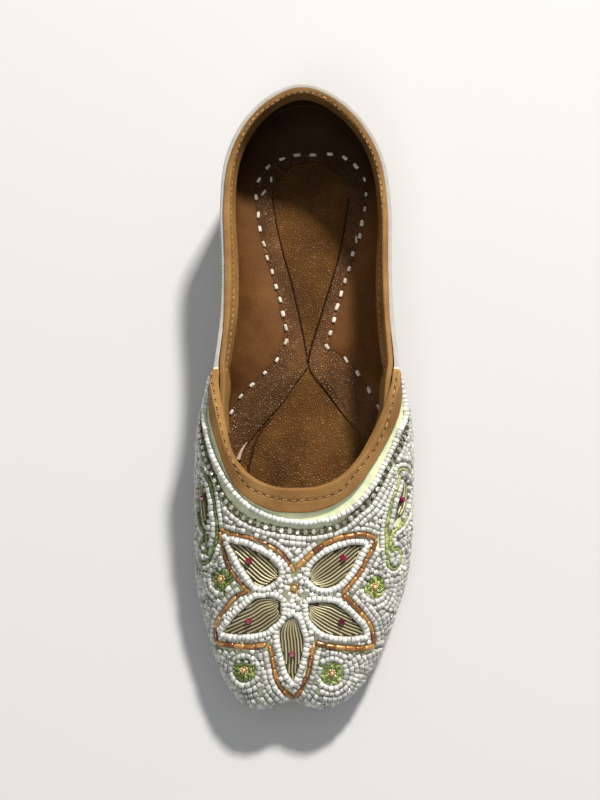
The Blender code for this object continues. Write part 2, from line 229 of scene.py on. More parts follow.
# %% Group: plain weave
def make_weave_group():
    """Height of crossing threads on a surface of any slope, and a slub mottle."""
    tree, entry, leave = new_group("plain weave", {"Threads per metre": 2200.0},
                                   ("Height", "Mottle"))
    place = add_node(tree, "TexCoord").outputs["Object"]
    split = add_node(tree, "SeparateXYZ", {0: place})
    turn = calc(tree, "MULTIPLY", entry.outputs[0], math.pi)
    level = calc(tree, "SUBTRACT", split.outputs["X"], split.outputs["Z"])
    warp, weft = (calc(tree, "SINE", calc(tree, "MULTIPLY", along, turn))
                  for along in (split.outputs["Y"], level))
    slub = add_node(tree, "TexNoise", {"Vector": place, "Scale": 240.0, "Detail": 3.0})
    tree.links.new(calc(tree, "MULTIPLY", warp, weft), leave.inputs[0])
    tree.links.new(slub.outputs["Fac"], leave.inputs[1])
    return tree


plain_weave = make_weave_group()

# %% [markdown]
# ## Leathers
# Five leathers differ in dye, grain and gloss. The bindings are smooth tan calf. The lining is
# a thin dyed skin, the turned-in margin is the same skin and shinier where it was pressed, the
# insole is a stouter hide with a clear pebble grain, and the sole is thick, pale and matt.

# %% Leather materials
def leather(name, dark, mid, light, roughness, cells, depth, shine=0.13, painted_heel_shade=0.0):
    """A dyed leather. Its last number is painted shade: how much darker it is painted towards the
    back of the shoe, where the inside lies in shadow.
    """
    material, tree, shader = new_material(name, roughness, Specular_IOR_Level=shine,
                                          Specular_Tint=(1.0, 0.8, 0.62, 1.0))
    grain = use_group(tree, leather_grain, Cells_per_metre=cells)
    tone = calc(tree, "MULTIPLY_ADD", grain.outputs["Height"], 0.22, grain.outputs["Mottle"])
    colour = ramp(tree, tone, (0.38, dark), (0.62, mid), (0.9, light))
    # Painted shade: the colour is darkened towards the back of the shoe, where the inside lies in
    # shadow.
    if painted_heel_shade:
        place = add_node(tree, "SeparateXYZ", {0: add_node(tree, "TexCoord").outputs["Object"]})
        painted_back_shade = add_node(tree, "MapRange", {0: place.outputs["Y"], 1: 0.07, 2: 0.105, 4: painted_heel_shade},
                        interpolation_type="SMOOTHSTEP")
        colour = add_node(tree, "Mix", {0: painted_back_shade.outputs[0], 6: colour, 7: (0.1, 0.12, 0.18, 1)},
                          data_type="RGBA", blend_type="MULTIPLY").outputs[2]
    tree.links.new(colour, shader.inputs["Base Color"])
    dull = add_node(tree, "MapRange", {0: grain.outputs["Height"], 1: 0.0, 2: 1.3,
                                       3: min(1.0, roughness + 0.18), 4: roughness - 0.06})
    tree.links.new(dull.outputs[0], shader.inputs["Roughness"])
    bump(tree, shader, grain.outputs["Height"], 0.6, depth * MM)
    return material


TAN_LEATHER = leather("tan_leather", (0.155, 0.074, 0.022), (0.235, 0.12, 0.038),
                      (0.32, 0.175, 0.06), 0.48, 1700, 0.06, painted_heel_shade=0.3)
LINING_LEATHER = leather("lining_leather", (0.065, 0.024, 0.006), (0.1, 0.04, 0.011),
                         (0.145, 0.06, 0.018), 0.55, 1500, 0.1, painted_heel_shade=0.9)
MARGIN_LEATHER = leather("margin_leather", (0.035, 0.014, 0.004), (0.07, 0.028, 0.007),
                         (0.15, 0.065, 0.022), 0.32, 1050, 0.46, 0.27, 0.7)
INSOLE_LEATHER = leather("insole_leather", (0.044, 0.016, 0.003), (0.082, 0.032, 0.005),
                         (0.14, 0.06, 0.013), 0.38, 1000, 0.44, 0.18, 0.5)
SOLE_LEATHER = leather("sole_leather", (0.13, 0.07, 0.032), (0.2, 0.115, 0.055),
                       (0.28, 0.17, 0.09), 0.62, 1200, 0.05)

# %% [markdown]
# ## Silk and cloth
# The vamp's ground is a pale mint silk, whose sheen is stronger at a glancing view. The quarters
# outside are a greyish white plain weave.

# %% Cloth materials
def cloth(name, dark, light, threads, depth, roughness, sheen):
    """A woven cloth whose threads show as height and as a faint change of tone."""
    material, tree, shader = new_material(name, roughness, Sheen_Weight=sheen,
                                          Sheen_Roughness=0.4, Specular_IOR_Level=0.3)
    weave = use_group(tree, plain_weave, Threads_per_metre=threads)
    tone = calc(tree, "MULTIPLY_ADD", weave.outputs["Height"], 0.12, weave.outputs["Mottle"])
    tree.links.new(ramp(tree, tone, (0.3, dark), (0.7, light)), shader.inputs["Base Color"])
    bump(tree, shader, weave.outputs["Height"], 0.5, depth * MM)
    return material


MINT_SILK = cloth("mint_silk", (0.5, 0.57, 0.34), (0.75, 0.77, 0.5), 2600, 0.04, 0.5, 0.15)
# Painted shade in part: the dark olive pad under the wires stands for the shade between them.
OLIVE_PAD_AND_SHADE = cloth("olive_pad_and_shade", (0.03, 0.026, 0.009), (0.06, 0.052, 0.02), 3000, 0.03, 0.7, 0.1)
PALE_CLOTH = cloth("pale_cloth", (0.34, 0.318, 0.285), (0.41, 0.386, 0.35), 1700, 0.09, 0.8, 0.15)

# %% [markdown]
# ## Thread, glass, wire and stones
# Small parts share one recipe: each copy carries its own tint number, stored on the mesh, and
# the ramp turns it into a slightly different colour. Beads of one lot are never all alike, and
# this shows more than any texture on a piece of glass two millimetres across.

# %% Small-part materials
def tinted(name, stops, roughness, metallic=0.0, gloss=0.0, **constants):
    """A material whose colour follows the tint number of each small copy."""
    material, tree, shader = new_material(name, roughness, Metallic=metallic,
                                          Coat_Weight=gloss, Coat_Roughness=0.08, **constants)
    tint = add_node(tree, "Attribute", attribute_name="tint")
    place = add_node(tree, "TexCoord").outputs["Object"]
    haze = add_node(tree, "TexNoise", {"Vector": place, "Scale": 900.0, "Detail": 2.0})
    mixed = calc(tree, "MULTIPLY_ADD", haze.outputs["Fac"], 0.3, tint.outputs["Fac"])
    lowered = calc(tree, "SUBTRACT", mixed, 0.15)
    tree.links.new(ramp(tree, lowered, *stops), shader.inputs["Base Color"])
    rough = add_node(tree, "MapRange", {0: haze.outputs["Fac"], 3: roughness,
                                        4: min(1.0, roughness + 0.12)})
    tree.links.new(rough.outputs[0], shader.inputs["Roughness"])
    return material


WHITE_GLASS = tinted("white_glass", ((0.0, (0.27, 0.27, 0.24)), (0.45, (0.5, 0.495, 0.445)),
                                     (1.0, (0.76, 0.745, 0.685))), 0.24, gloss=0.4)
COPPER_GLASS = tinted("copper_glass", ((0.0, (0.18, 0.06, 0.012)), (0.5, (0.36, 0.14, 0.03)),
                                       (1.0, (0.56, 0.29, 0.08))), 0.2, 0.35, 0.6)
GREEN_GLASS = tinted("green_glass", ((0.0, (0.05, 0.08, 0.012)), (0.5, (0.15, 0.21, 0.03)),
                                     (1.0, (0.4, 0.45, 0.13))), 0.18, 0.1, 0.6)
PALE_WIRE = tinted("pale_wire", ((0.0, (0.36, 0.31, 0.17)), (1.0, (0.56, 0.49, 0.31))), 0.4, 0.45)
DARK_WIRE = tinted("dark_wire", ((0.0, (0.045, 0.036, 0.012)), (1.0, (0.12, 0.1, 0.04))),
                   0.45, 0.4)
GOLD_BEAD = tinted("gold_bead", ((0.0, (0.42, 0.24, 0.08)), (1.0, (0.8, 0.56, 0.3))),
                   0.22, 0.5, 0.3)
RUBY_STONE = tinted("ruby_stone", ((0.0, (0.05, 0.0, 0.008)), (1.0, (0.2, 0.0, 0.03))),
                    0.12, 0.0, 0.25)
FOILED_STONE = tinted("foiled_stone", ((0.0, (0.3, 0.29, 0.2)), (1.0, (0.74, 0.72, 0.6))),
                      0.12, 0.6, 0.8)
DULL_CUP = tinted("dull_cup", ((0.0, (0.06, 0.06, 0.035)), (1.0, (0.2, 0.19, 0.12))),
                  0.4, 0.6)
WHITE_COTTON = tinted("white_cotton", ((0.0, (0.42, 0.35, 0.27)), (1.0, (0.68, 0.6, 0.48))),
                      0.75)
TAN_COTTON = tinted("tan_cotton", ((0.0, (0.2, 0.1, 0.035)), (1.0, (0.42, 0.24, 0.09))), 0.7)
RAW_EDGE = tinted("raw_edge", ((0.0, (0.36, 0.22, 0.16)), (1.0, (0.55, 0.38, 0.3))), 0.7)
HOLE_SHADE = tinted("hole_shade", ((0.0, (0.012, 0.006, 0.003)), (1.0, (0.03, 0.016, 0.008))),
                    0.95, Specular_IOR_Level=0.05)
GAP_SHADE = tinted("gap_shade", ((0.0, (0.018, 0.008, 0.004)), (1.0, (0.042, 0.019, 0.009))),
                   0.95, Specular_IOR_Level=0.05)

# %% [markdown]
# ## Soft copies of the solids
# The CAD solids have exact places but few faces, so a render shows their facets. A copy of each
# has its loose triangles merged and paired into quads, and Catmull-Clark subdivision then rounds
# it. Creases hold the edges that a maker cuts square. The CAD meshes themselves stay as they are.

# %% Merge, crease and subdivide
def merged_copy(node):
    """A bmesh of a CAD node, its doubles merged and its triangles paired."""
    bm = bmesh.new()
    bm.from_mesh(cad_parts[node].data)
    bmesh.ops.remove_doubles(bm, verts=bm.verts, dist=2e-6)
    bmesh.ops.join_triangles(bm, faces=bm.faces, angle_face_threshold=math.radians(50),
                             angle_shape_threshold=math.radians(80))
    bm.normal_update()
    return bm


def creased(bm, angle, amount):
    """Edges sharper than an angle keep part of their sharpness when subdivided."""
    layer = bm.edges.layers.float.get("crease_edge") or bm.edges.layers.float.new("crease_edge")
    for edge in bm.edges:
        if edge.calc_face_angle(0) > math.radians(angle):
            edge[layer] = amount


def subdivided(bm, levels):
    """The bmesh after Catmull-Clark subdivision."""
    mesh = bpy.data.meshes.new("soft")
    bm.to_mesh(mesh)
    bm.free()
    holder = put("soft", mesh)
    modifier = holder.modifiers.new("soft", "SUBSURF")
    modifier.levels = modifier.render_levels = levels
    soft = bmesh.new()
    soft.from_object(holder, bpy.context.evaluated_depsgraph_get())
    bpy.data.objects.remove(holder)
    return soft


# %% Keep a finished piece
def keep_piece(name, source, materials, replaced=(), smooth_below=99):
    """The bmesh or mesh as a piece that rides on the shoe. Faces with many corners stay flat."""
    mesh = source
    if isinstance(source, bmesh.types.BMesh):
        mesh = bpy.data.meshes.new(name)
        source.to_mesh(mesh)
        source.free()
    mesh.name = name
    mesh.polygons.foreach_set("use_smooth", [len(p.vertices) < smooth_below
                                             for p in mesh.polygons])
    for material in materials:
        mesh.materials.append(material)
    piece = put(name, mesh)
    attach(piece, "root")
    if replaced:
        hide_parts(*replaced)
    triangles = sum(len(p.vertices) - 2 for p in mesh.polygons)
    print(f"{name}: {triangles} triangles")
    return piece


# %% [markdown]
# ## The upper
# The upper is one closed wall. Outside it is mint silk in front of the side seam and pale cloth
# behind it, and inside it is lined with leather. A face belongs to the outside when it looks
# away from a line through the middle of the shoe.

# %% Upper with its three materials
SEAM_Y = 4.3
SILK, CLOTH, LINING = 0, 1, 2


def looks_out(face):
    """True on the outer side of the wall."""
    centre = face.calc_center_median() / MM
    spine = Vector((0, clamped(centre.y, -92, 92), 15))
    return face.normal.dot(centre - spine) > 0


def tree_of(faces):
    """A tree of some of a bmesh's faces, in millimetres."""
    points = {v: i for i, v in enumerate(dict.fromkeys(v for f in faces for v in f.verts))}
    return BVHTree.FromPolygons([v.co / MM for v in points],
                                [[points[v] for v in f.verts] for f in faces])


# How far the toe's front goes in (or out, when less than zero), at which x and how widely.
TOE_WAVES = ((1.7, -4.7, 6.0), (-0.9, -19.0, 6.5), (-0.3, 8.0, 5.0))


def dented_toe(bm):
    """Draws the toe's front in between its two lobes, as the photo's outline shows."""
    for vert in bm.verts:
        x, y, _ = vert.co / MM
        dent = sum(deep * math.exp(-((x - at) / wide) ** 2) for deep, at, wide in TOE_WAVES)
        vert.co.y += dent * clamped((-106 - y) / 12) ** 2 * MM


upper = merged_copy("upper")
for face in upper.faces:
    if not looks_out(face):
        face.material_index = LINING
    else:
        face.material_index = SILK if face.calc_center_median().y < SEAM_Y * MM else CLOTH
creased(upper, 42, 0.75)
upper = subdivided(upper, 2)
dented_toe(upper)
upper.normal_update()

# %% The vamp's outer face as a ground for the beads, and the lining as one for the slope
vamp_faces = [f for f in upper.faces if f.material_index == SILK and f.normal.z > -0.6]
vamp_ground = tree_of(vamp_faces)
lining_ground = tree_of([f for f in upper.faces if f.material_index == LINING])
print("vamp faces:", len(vamp_faces))
keep_piece("upper_cloth_and_lining", upper, (MINT_SILK, PALE_CLOTH, LINING_LEATHER),
           ("upper",))

# %% [markdown]
# ## Lines on the vamp
# All beadwork follows lines drawn on the stretched silk. A line is given by a few places in plan,
# rounded off between them, and dropped on the vamp. Near the sides, where a drop from above
# would slide down the slope, a place has its height too.

# %% Draw lines on the vamp
def on_vamp(place):
    """The nearest place on the silk and its outward direction."""
    spot, normal, _, _ = vamp_ground.find_nearest(Vector(place))
    return spot, normal


def dropped(place):
    """A plan position on the silk, from straight above unless it has a height."""
    if len(place) == 3:
        return on_vamp(place)[0]
    hit = vamp_ground.ray_cast(Vector((*place, 90)), Vector((0, 0, -1)))
    return hit[0] if hit[0] else on_vamp((*place, 16))[0]


def rounded(points, closed=False):
    """Fine points along a soft curve through the given ones."""
    points = [Vector(p) for p in points]
    ends = (points[-1:], points[:2]) if closed else ([points[0] * 2 - points[1]],
                                                    [points[-1] * 2 - points[-2]])
    chain = ends[0] + points + ends[1]
    fine = []
    for a, b, c, d in zip(chain, chain[1:], chain[2:], chain[3:]):
        pieces = max(2, int((c - b).length / 0.4))
        for k in range(pieces):
            t = k / pieces
            fine.append(0.5 * (2 * b + (c - a) * t + (2 * a - 5 * b + 4 * c - d) * t * t
                               + (3 * b - a - 3 * c + d) * t ** 3))
    return fine + ([] if closed else [points[-1]])


def evenly(line, step, closed=False):
    """The line's points moved to equal steps, about this far apart."""
    line = list(line) + ([line[0]] if closed else [])
    spans = [(b - a).length for a, b in zip(line, line[1:])]
    run = np.concatenate(([0.0], np.cumsum(spans)))
    count = max(1, round(run[-1] / step))
    marks = np.linspace(0, run[-1], count + 1)
    if closed:
        marks = marks[:-1]
    rows = np.array([tuple(p) for p in line])
    return [Vector(p) for p in np.stack([np.interp(marks, run, rows[:, i]) for i in range(3)], 1)]


# %% Draw and shift a line on the silk
def drawn(places, step=0.5, closed=False):
    """A rounded line on the silk."""
    line = evenly(rounded([dropped(p) for p in places], closed), step, closed)
    return [on_vamp(p)[0] for p in line]


def direction_at(line, k, closed=False):
    """The line's direction at one of its points."""
    before = line[k - 1] if closed or k else line[0]
    after = line[(k + 1) % len(line)] if closed or k < len(line) - 1 else line[-1]
    return (after - before).normalized()


def shifted(line, distance, closed=False):
    """The line moved sideways over the silk. Lost places, past an edge of the silk, are None."""
    moved = []
    for k, spot in enumerate(line):
        side = on_vamp(spot)[1].cross(direction_at(line, k, closed))
        target = spot + side.normalized() * distance
        landed = on_vamp(target)[0]
        moved.append(landed if (landed - target).length < 0.55 else None)
    return moved


# %% [markdown]
# ## Copies of a small shape
# A bead is modelled once, with a few dozen faces, and then copied to hundreds of places. Joining
# the copies as arrays is much faster than one operator call each. Every copy gets a tint number.

# %% Join copies into one mesh
random.seed(38)


def small_shape(build):
    """The corners and faces of a small shape that a function models in a bmesh."""
    bm = bmesh.new()
    build(bm)
    bmesh.ops.recalc_face_normals(bm, faces=bm.faces)
    bm.verts.index_update()
    corners = np.array([tuple(v.co) for v in bm.verts])
    faces = [[v.index for v in f.verts] for f in bm.faces]
    bm.free()
    return corners, faces


def seat(place, along, up, size, lift=0.0, sway=0.0):
    """Where a copy goes: its centre, and its three scaled directions."""
    up = Vector(up).normalized()
    along = (Vector(along) - up * Vector(along).dot(up)).normalized()
    if sway:
        along = Matrix.Rotation(random.gauss(0, sway), 3, up) @ along
        up = Matrix.Rotation(random.gauss(0, sway), 3, along) @ up
    side = up.cross(along)
    centre = Vector(place) + up * lift
    axes = np.array([along * size[0], side * size[1], up * size[2]])
    return np.array(tuple(centre)), axes


def copies_piece(name, shape, seats, material, tints=None, smooth_below=5):
    """One piece of many copies of a small shape. By default only its flat ends stay flat."""
    corners, faces = shape
    places = [centre + corners @ axes for centre, axes in seats]
    joined = [[i + k * len(corners) for i in face] for k in range(len(seats)) for face in faces]
    mesh = bpy.data.meshes.new(name)
    mesh.from_pydata(np.concatenate(places) * MM, [], joined)
    if tints is None:
        tints = [random.random() for _ in seats]
    tint = mesh.attributes.new("tint", "FLOAT", "POINT")
    tint.data.foreach_set("value", np.repeat(np.array(tints, float), len(corners)))
    return keep_piece(name, mesh, (material,), smooth_below=smooth_below)


# %% Bead shapes
def short_tube(segments, rim, steps):
    """A builder of a tube one unit long and wide along x, with rims rounded in some steps."""
    def build(bm):
        bmesh.ops.create_cone(bm, cap_ends=True, segments=segments, radius1=0.5, radius2=0.5,
                              depth=1.0, matrix=Matrix.Rotation(math.radians(90), 4, "Y"))
        rims = [e for e in bm.edges if e.calc_face_angle(0) > math.radians(60)]
        bmesh.ops.bevel(bm, geom=rims, offset=rim, segments=steps, affect="EDGES", profile=0.5,
                        material=-1)
    return build


def ball(fineness):
    """A builder of a ball one unit across."""
    return lambda bm: bmesh.ops.create_icosphere(bm, subdivisions=fineness, radius=0.5)


def cut_stone(bm):
    """A faceted stone with a table on top and a girdle, one unit across."""
    for wide, top, deep, height in ((0.5, 0.27, 0.34, 0.17), (0.36, 0.5, 0.2, -0.1)):
        bmesh.ops.create_cone(bm, cap_ends=True, segments=8, radius1=wide, radius2=top,
                              depth=deep, matrix=Matrix.Translation((0, 0, height)))
    bmesh.ops.remove_doubles(bm, verts=bm.verts, dist=0.001)


SEED = small_shape(short_tube(8, 0.06, 1))
STITCH = small_shape(short_tube(10, 0.24, 2))
ROUND = small_shape(ball(2))
SMALL_ROUND = small_shape(ball(1))
STONE = small_shape(cut_stone)
print("faces of a seed bead:", len(SEED[1]))

# %% [markdown]
# ## Shaping a soft copy
# Leather keeps the marks of the hand that sewed it. Three small tools put them into a soft copy:
# one presses a trough along a seam, one pulls a cut edge to its place, and one finds places on a
# finished piece, so that thread can lie on it.

# %% Tools for seams and edges
def nearest_of(points):
    """A tree that finds the nearest of some points."""
    tree = KDTree(len(points))
    for k, point in enumerate(points):
        tree.insert(point, k)
    tree.balance()
    return tree


def trough(bm, line, width, depth):
    """Presses a soft trough, so wide and so deep in millimetres, along a line of places."""
    bm.normal_update()
    tree = nearest_of(line)
    moves = []
    for vert in bm.verts:
        far = tree.find(vert.co / MM)[2]
        if far < width / 2:
            moves.append((vert, vert.normal * (depth * MM * (1 - (2 * far / width) ** 2) ** 2)))
    for vert, move in moves:
        vert.co -= move


def pull(bm, before, after, reach, side):
    """Moves a mesh in plan, so that a line on it comes to another. Side picks left or right."""
    marks = np.linspace(0, len(before) - 1, 30 * len(before))
    spans = range(len(before))
    old, new = (np.stack([np.interp(marks, spans, [p[i] for p in line]) for i in (0, 1)], 1)
                for line in (before, after))
    tree = nearest_of([(x, y, 0) for x, y in old])
    for vert in bm.verts:
        if (vert.co.x / MM - 0.9) * side < 0:
            continue
        _, k, far = tree.find((vert.co.x / MM, vert.co.y / MM, 0))
        if far < reach:
            move = (new[k] - old[k]) * (1 - (far / reach) ** 2) ** 2 * MM
            vert.co.x += move[0]
            vert.co.y += move[1]


def thickened(sheet, thickness):
    """A sheet turned face up and given a thickness in millimetres."""
    sheet.normal_update()
    if sum(f.normal.z for f in sheet.faces) < 0:
        bmesh.ops.reverse_faces(sheet, faces=sheet.faces)
    bmesh.ops.solidify(sheet, geom=sheet.faces, thickness=thickness * MM)
    return sheet


# %% Tools for finished pieces and lines on them
def ground_of(*pieces):
    """A tree of the faces of finished pieces, in millimetres."""
    corners, faces = [], []
    for piece in pieces:
        start = len(corners)
        corners += [v.co / MM for v in piece.data.vertices]
        faces += [[i + start for i in p.vertices] for p in piece.data.polygons]
    return BVHTree.FromPolygons(corners, faces)


def laid_on(bm, places, step):
    """A rounded line with its points on the mesh."""
    tree = BVHTree.FromBMesh(bm)
    return [tree.find_nearest(p * MM)[0] / MM for p in evenly(rounded(places), step)]


def soft_copy(node, angle, amount, levels):
    """A subdivided bmesh of a solid."""
    bm = merged_copy(node)
    creased(bm, angle, amount)
    return subdivided(bm, levels)


# %% [markdown]
# ## Sole, insole and the turned-in margin
# The lining comes down the wall, is turned in over the insole and is held there by thick white
# hand stitches. Its cut edges cross at the waist and open again under the vamp. The margin's
# edges are pulled to their places in the photograph. Each stitch dents the leather.

# %% Hand stitches, from the left front round the heel to the right front
STITCHES = (
    (-29.4, -5.0), (-25.7, 1.5), (-21.2, 6.3), (-15.9, 11.3), (-11.0, 16.7), (-7.3, 24.2),
    (-7.4, 30.1), (-8.6, 35.9), (-9.8, 41.8), (-11.5, 47.3), (-13.1, 53.6), (-15.2, 59.5),
    (-16.5, 65.5), (-18.2, 72.0), (-19.0, 78.1), (-19.9, 86.0), (-18.7, 93.6), (-15.0, 99.4),
    (-9.1, 102.9), (-2.9, 104.7), (3.8, 104.7), (10.9, 105.2), (17.2, 103.4), (21.7, 99.8),
    (25.5, 94.0), (26.2, 87.4), (25.3, 80.8), (24.0, 74.6), (23.2, 69.0), (20.2, 61.3),
    (18.6, 54.9), (16.9, 49.8), (15.2, 44.3), (13.6, 38.8), (12.3, 33.4), (10.7, 28.0),
    (9.4, 22.1), (17.2, 16.7), (22.0, 11.3), (26.5, 4.2), (30.4, -2.9))

# %% Lines of the margin and the insole: where the solid has them, and where the photo does
EDGE_LEFT = ((-12.8, 86), (-10.9, 73.8), (-8.2, 60.8), (-6.1, 50.7), (-3.6, 38), (-1.3, 25.5),
             (0.2, 17), (-4.0, 8), (-8.8, 1), (-13.4, -5.7), (-21.7, -18.3))
SEEN_LEFT = ((-13.3, 86), (-11.6, 73.8), (-8.6, 60.8), (-5.7, 50.7), (-2.9, 38), (-0.3, 25.2),
             (1.5, 15.0), (-2.8, 8), (-7.2, 1), (-13.1, -5.7), (-23.1, -18.3))
EDGE_RIGHT = ((18.9, 86), (14.4, 60.8), (7.2, 35.5), (3.3, 23), (1.6, 17), (6.4, 6.3),
              (11.7, -1.7), (17.0, -9.6), (21.1, -16.2))
SEEN_RIGHT = ((19.2, 86), (14.9, 60.8), (7.4, 35.5), (3.6, 23), (1.7, 15.4), (7.3, 6.3),
              (13.3, -1.7), (19.2, -9.6), (25.1, -16.2))
SEWN_LEFT = ((-22.7, 6.3), (-24.4, 2.0), (-25.9, -1.7), (-27.9, -6.0), (-29.5, -9.6))
WALL_LEFT = ((-22.9, 6.5), (-26.4, 2.4), (-28.6, -1.4), (-30.8, -5.8), (-31.8, -9.6))
SEWN_RIGHT = ((22.9, 10.0), (24.8, 4.0), (26.3, 0.0), (28.0, -4.0), (30.3, -9.6))
WALL_RIGHT = ((23.6, 10.4), (27.5, 4.7), (29.7, 0.6), (31.4, -3.6), (32.6, -9.3))
INSOLE_PIECE_EDGE = ((1.0, 13.8, 7.4), (-4.6, 5.9, 6.9), (-12.4, -5.3, 6.3), (-18.1, -12.3, 6.7),
                     (-20.3, -19.5, 5.9), (-22.6, -29.0, 5.9))

# %% Margin, insole and outsole
margin = soft_copy("lining_margin", 45, 0.6, 3)
for before, after, reach, side in ((EDGE_LEFT, SEEN_LEFT, 9.0, -1),
                                   (EDGE_RIGHT, SEEN_RIGHT, 9.0, 1),
                                   (SEWN_LEFT, WALL_LEFT, 5.0, -1),
                                   (SEWN_RIGHT, WALL_RIGHT, 5.0, 1)):
    pull(margin, before, after, reach, side)
margin_top = BVHTree.FromBMesh(margin)


def on_margin(x, y):
    """The margin's place under a plan position, in millimetres."""
    hit = margin_top.ray_cast(Vector((x, y, 60)) * MM, Vector((0, 0, -1)))[0]
    hit = hit or margin_top.find_nearest(Vector((x, y, 9)) * MM)[0]
    return Vector((x, y, hit.z / MM))


stitch_spots = [on_margin(x, y) for x, y in STITCHES]
seam_line = evenly(rounded([on_margin(-31.6, -11.0), *stitch_spots, on_margin(32.4, -9.0)]), 0.9)
cut_edges = nearest_of([(p.x, p.y, 0) for line in (SEEN_LEFT, SEEN_RIGHT)
                        for p in rounded([(x, y, 0) for x, y in line])])
THINNED, THINNED_WIDE = 0.75, 3.0
for vert in margin.verts:
    far = cut_edges.find((vert.co.x / MM, vert.co.y / MM, 0))[2]
    vert.co.z -= THINNED * MM * max(0.0, 1 - (far / THINNED_WIDE) ** 2)
trough(margin, stitch_spots, 3.4, 0.35)
trough(margin, seam_line, 2.2, 0.15)
margin_piece = keep_piece("margin_leather_strip", margin, (MARGIN_LEATHER,),
                          ("lining_margin",))
insole = soft_copy("insole", 45, 0.8, 3)
for places, wide, deep in ((INSOLE_PIECE_EDGE, 1.6, 0.8),
                           ([(x + 0.4, y, 8) for x, y in SEEN_LEFT[:7]], 1.8, 0.6),
                           ([(x - 0.4, y, 8) for x, y in SEEN_RIGHT[:5]], 1.8, 0.5)):
    trough(insole, laid_on(insole, places, 0.3), wide, deep)
insole_piece = keep_piece("insole_sock", insole, (INSOLE_LEATHER,),
                          ("insole",))
outsole = soft_copy("outsole", 40, 0.7, 2)
dented_toe(outsole)
keep_piece("outsole_leather", outsole, (SOLE_LEATHER,), ("outsole",))

# %% [markdown]
# ## The lining's slope
# Between the wall and the stitches the lining hangs free, in a soft slope. It is made here as a
# thin strip: a grid whose short way runs from the seam out and up to the wall, on a curve that
# is nearly flat at the seam and nearly upright at the wall.

# %% Lining slope from the stitches to the wall
SLOPE_ROWS = 12
HEEL_MIDDLE = Vector((3.3, 88, 0))
HIGHEST_RISE = 13.0


def slope_curve(foot):
    """Foot, middle and top of the slope's curve at a place of the seam."""
    if foot.y < HEEL_MIDDLE.y:
        out = Vector((1 if foot.x > 1 else -1, 0, 0))
    else:
        out = (foot - HEEL_MIDDLE).to_2d().to_3d().normalized()
    rise = HIGHEST_RISE
    for attempt in range(3):
        start = foot + Vector((0, 0, rise))
        hit = lining_ground.ray_cast(start, out)[0]
        gap = (hit - start).length if hit else 8.0
        rise = min(HIGHEST_RISE, 0.8 * gap + 3.0)
    top = foot + out * (gap + 0.12) + Vector((0, 0, rise))
    return foot, foot + out * (gap * 0.8) + Vector((0, 0, 1.8)), top


slope = bmesh.new()
curves = [slope_curve(spot - Vector((0, 0, 0.2))) for spot in seam_line]
bmesh.ops.create_grid(slope, x_segments=len(curves) - 1, y_segments=SLOPE_ROWS, size=0.5)
for vert in slope.verts:
    low, middle, top = curves[round((vert.co.x + 0.5) * (len(curves) - 1))]
    t = vert.co.y + 0.5
    vert.co = (low * (1 - t) ** 2 + middle * 2 * t * (1 - t) + top * t * t) * MM
thickened(slope, 0.5)
trough(slope, stitch_spots, 3.4, 0.4)
slope_piece = keep_piece("lining_slope", slope, (LINING_LEATHER,))

# %% [markdown]
# ## Bindings
# The strip round the throat lies over the silk and is sewn near its inner edge. Its ends at the
# ears are rounded off. The collar's strip is folded over the rim, and its seam lies in a groove.

# %% Bindings with their grooves
THROAT_SEAM = (
    (-37.0, 2.6, 41.1), (-35.3, -4.9, 41.9), (-33.5, -13.9, 42.3), (-31.1, -23.8, 42.0),
    (-27.3, -34.4, 41.4), (-24.5, -40.0, 40.0), (-21.7, -43.1, 39.4), (-18.6, -44.9, 39.2),
    (-15.4, -46.1, 39.1), (-11.7, -47.3, 38.9), (-7.9, -48.0, 38.7), (-4.6, -48.4, 38.6),
    (-1.1, -48.2, 38.7), (3.9, -47.7, 38.8), (8.8, -46.8, 38.9), (13.7, -44.6, 39.2),
    (16.1, -42.7, 39.5), (18.7, -39.5, 40.2), (20.9, -36.9, 40.5), (23.6, -33.5, 40.9),
    (26.0, -30.4, 41.0), (28.4, -26.7, 40.9), (32.0, -19.2, 41.3), (33.7, -13.1, 42.4),
    (35.0, -5.7, 41.9), (36.1, 0.9, 41.5))
COLLAR_SEAM = (
    (-30.3, 4.4, 37.6), (-29.2, 14.8, 37.2), (-28.3, 25.1, 37.3), (-27.8, 37.5, 37.6),
    (-28.1, 49.8, 38.3), (-28.8, 62.2, 39.0), (-29.1, 74.5, 40.2), (-28.7, 82.7, 41.2),
    (-25.6, 97.5, 44.6), (-19.7, 107.6, 46.7), (-12.9, 112.6, 46.9), (-7.7, 115.8, 47.6),
    (-0.4, 117.8, 47.6), (6.4, 116.4, 47.8), (11.7, 113.1, 47.3), (16.5, 108.7, 45.9),
    (24.6, 98.0, 45.0), (30.4, 82.0, 42.8), (31.0, 73.9, 41.9), (30.8, 62.1, 39.2),
    (30.1, 50.1, 37.4), (29.6, 38.1, 35.7), (29.7, 25.8, 35.0), (30.8, 15.2, 35.9),
    (31.8, 4.5, 37.4))

# %% Throat binding, narrowed to its outer edge in the photo and rounded at the ears
NARROWER_LEFT = ((-52, -48, -44.6, -40, -35, -30, -25, -20, -15.5, -8.8, 2),
                 (0.0, 0.3, 0.6, 1.5, 2.3, 2.4, 1.9, 1.2, 0.8, 1.2, 0.9))
NARROWER_RIGHT = ((-52, -48, -43.5, -39.5, -35.5, -31, -24, -20, -14, 2),
                  (0.6, 1.0, 1.3, 1.6, 2.4, 2.4, 1.6, 0.8, 0.0, 0.0))


def silk_height(x, y):
    """The silk's height under a plan position, or None beside it."""
    hit = vamp_ground.ray_cast(Vector((x, y, 90)), Vector((0, 0, -1)))[0]
    return hit.z if hit else None


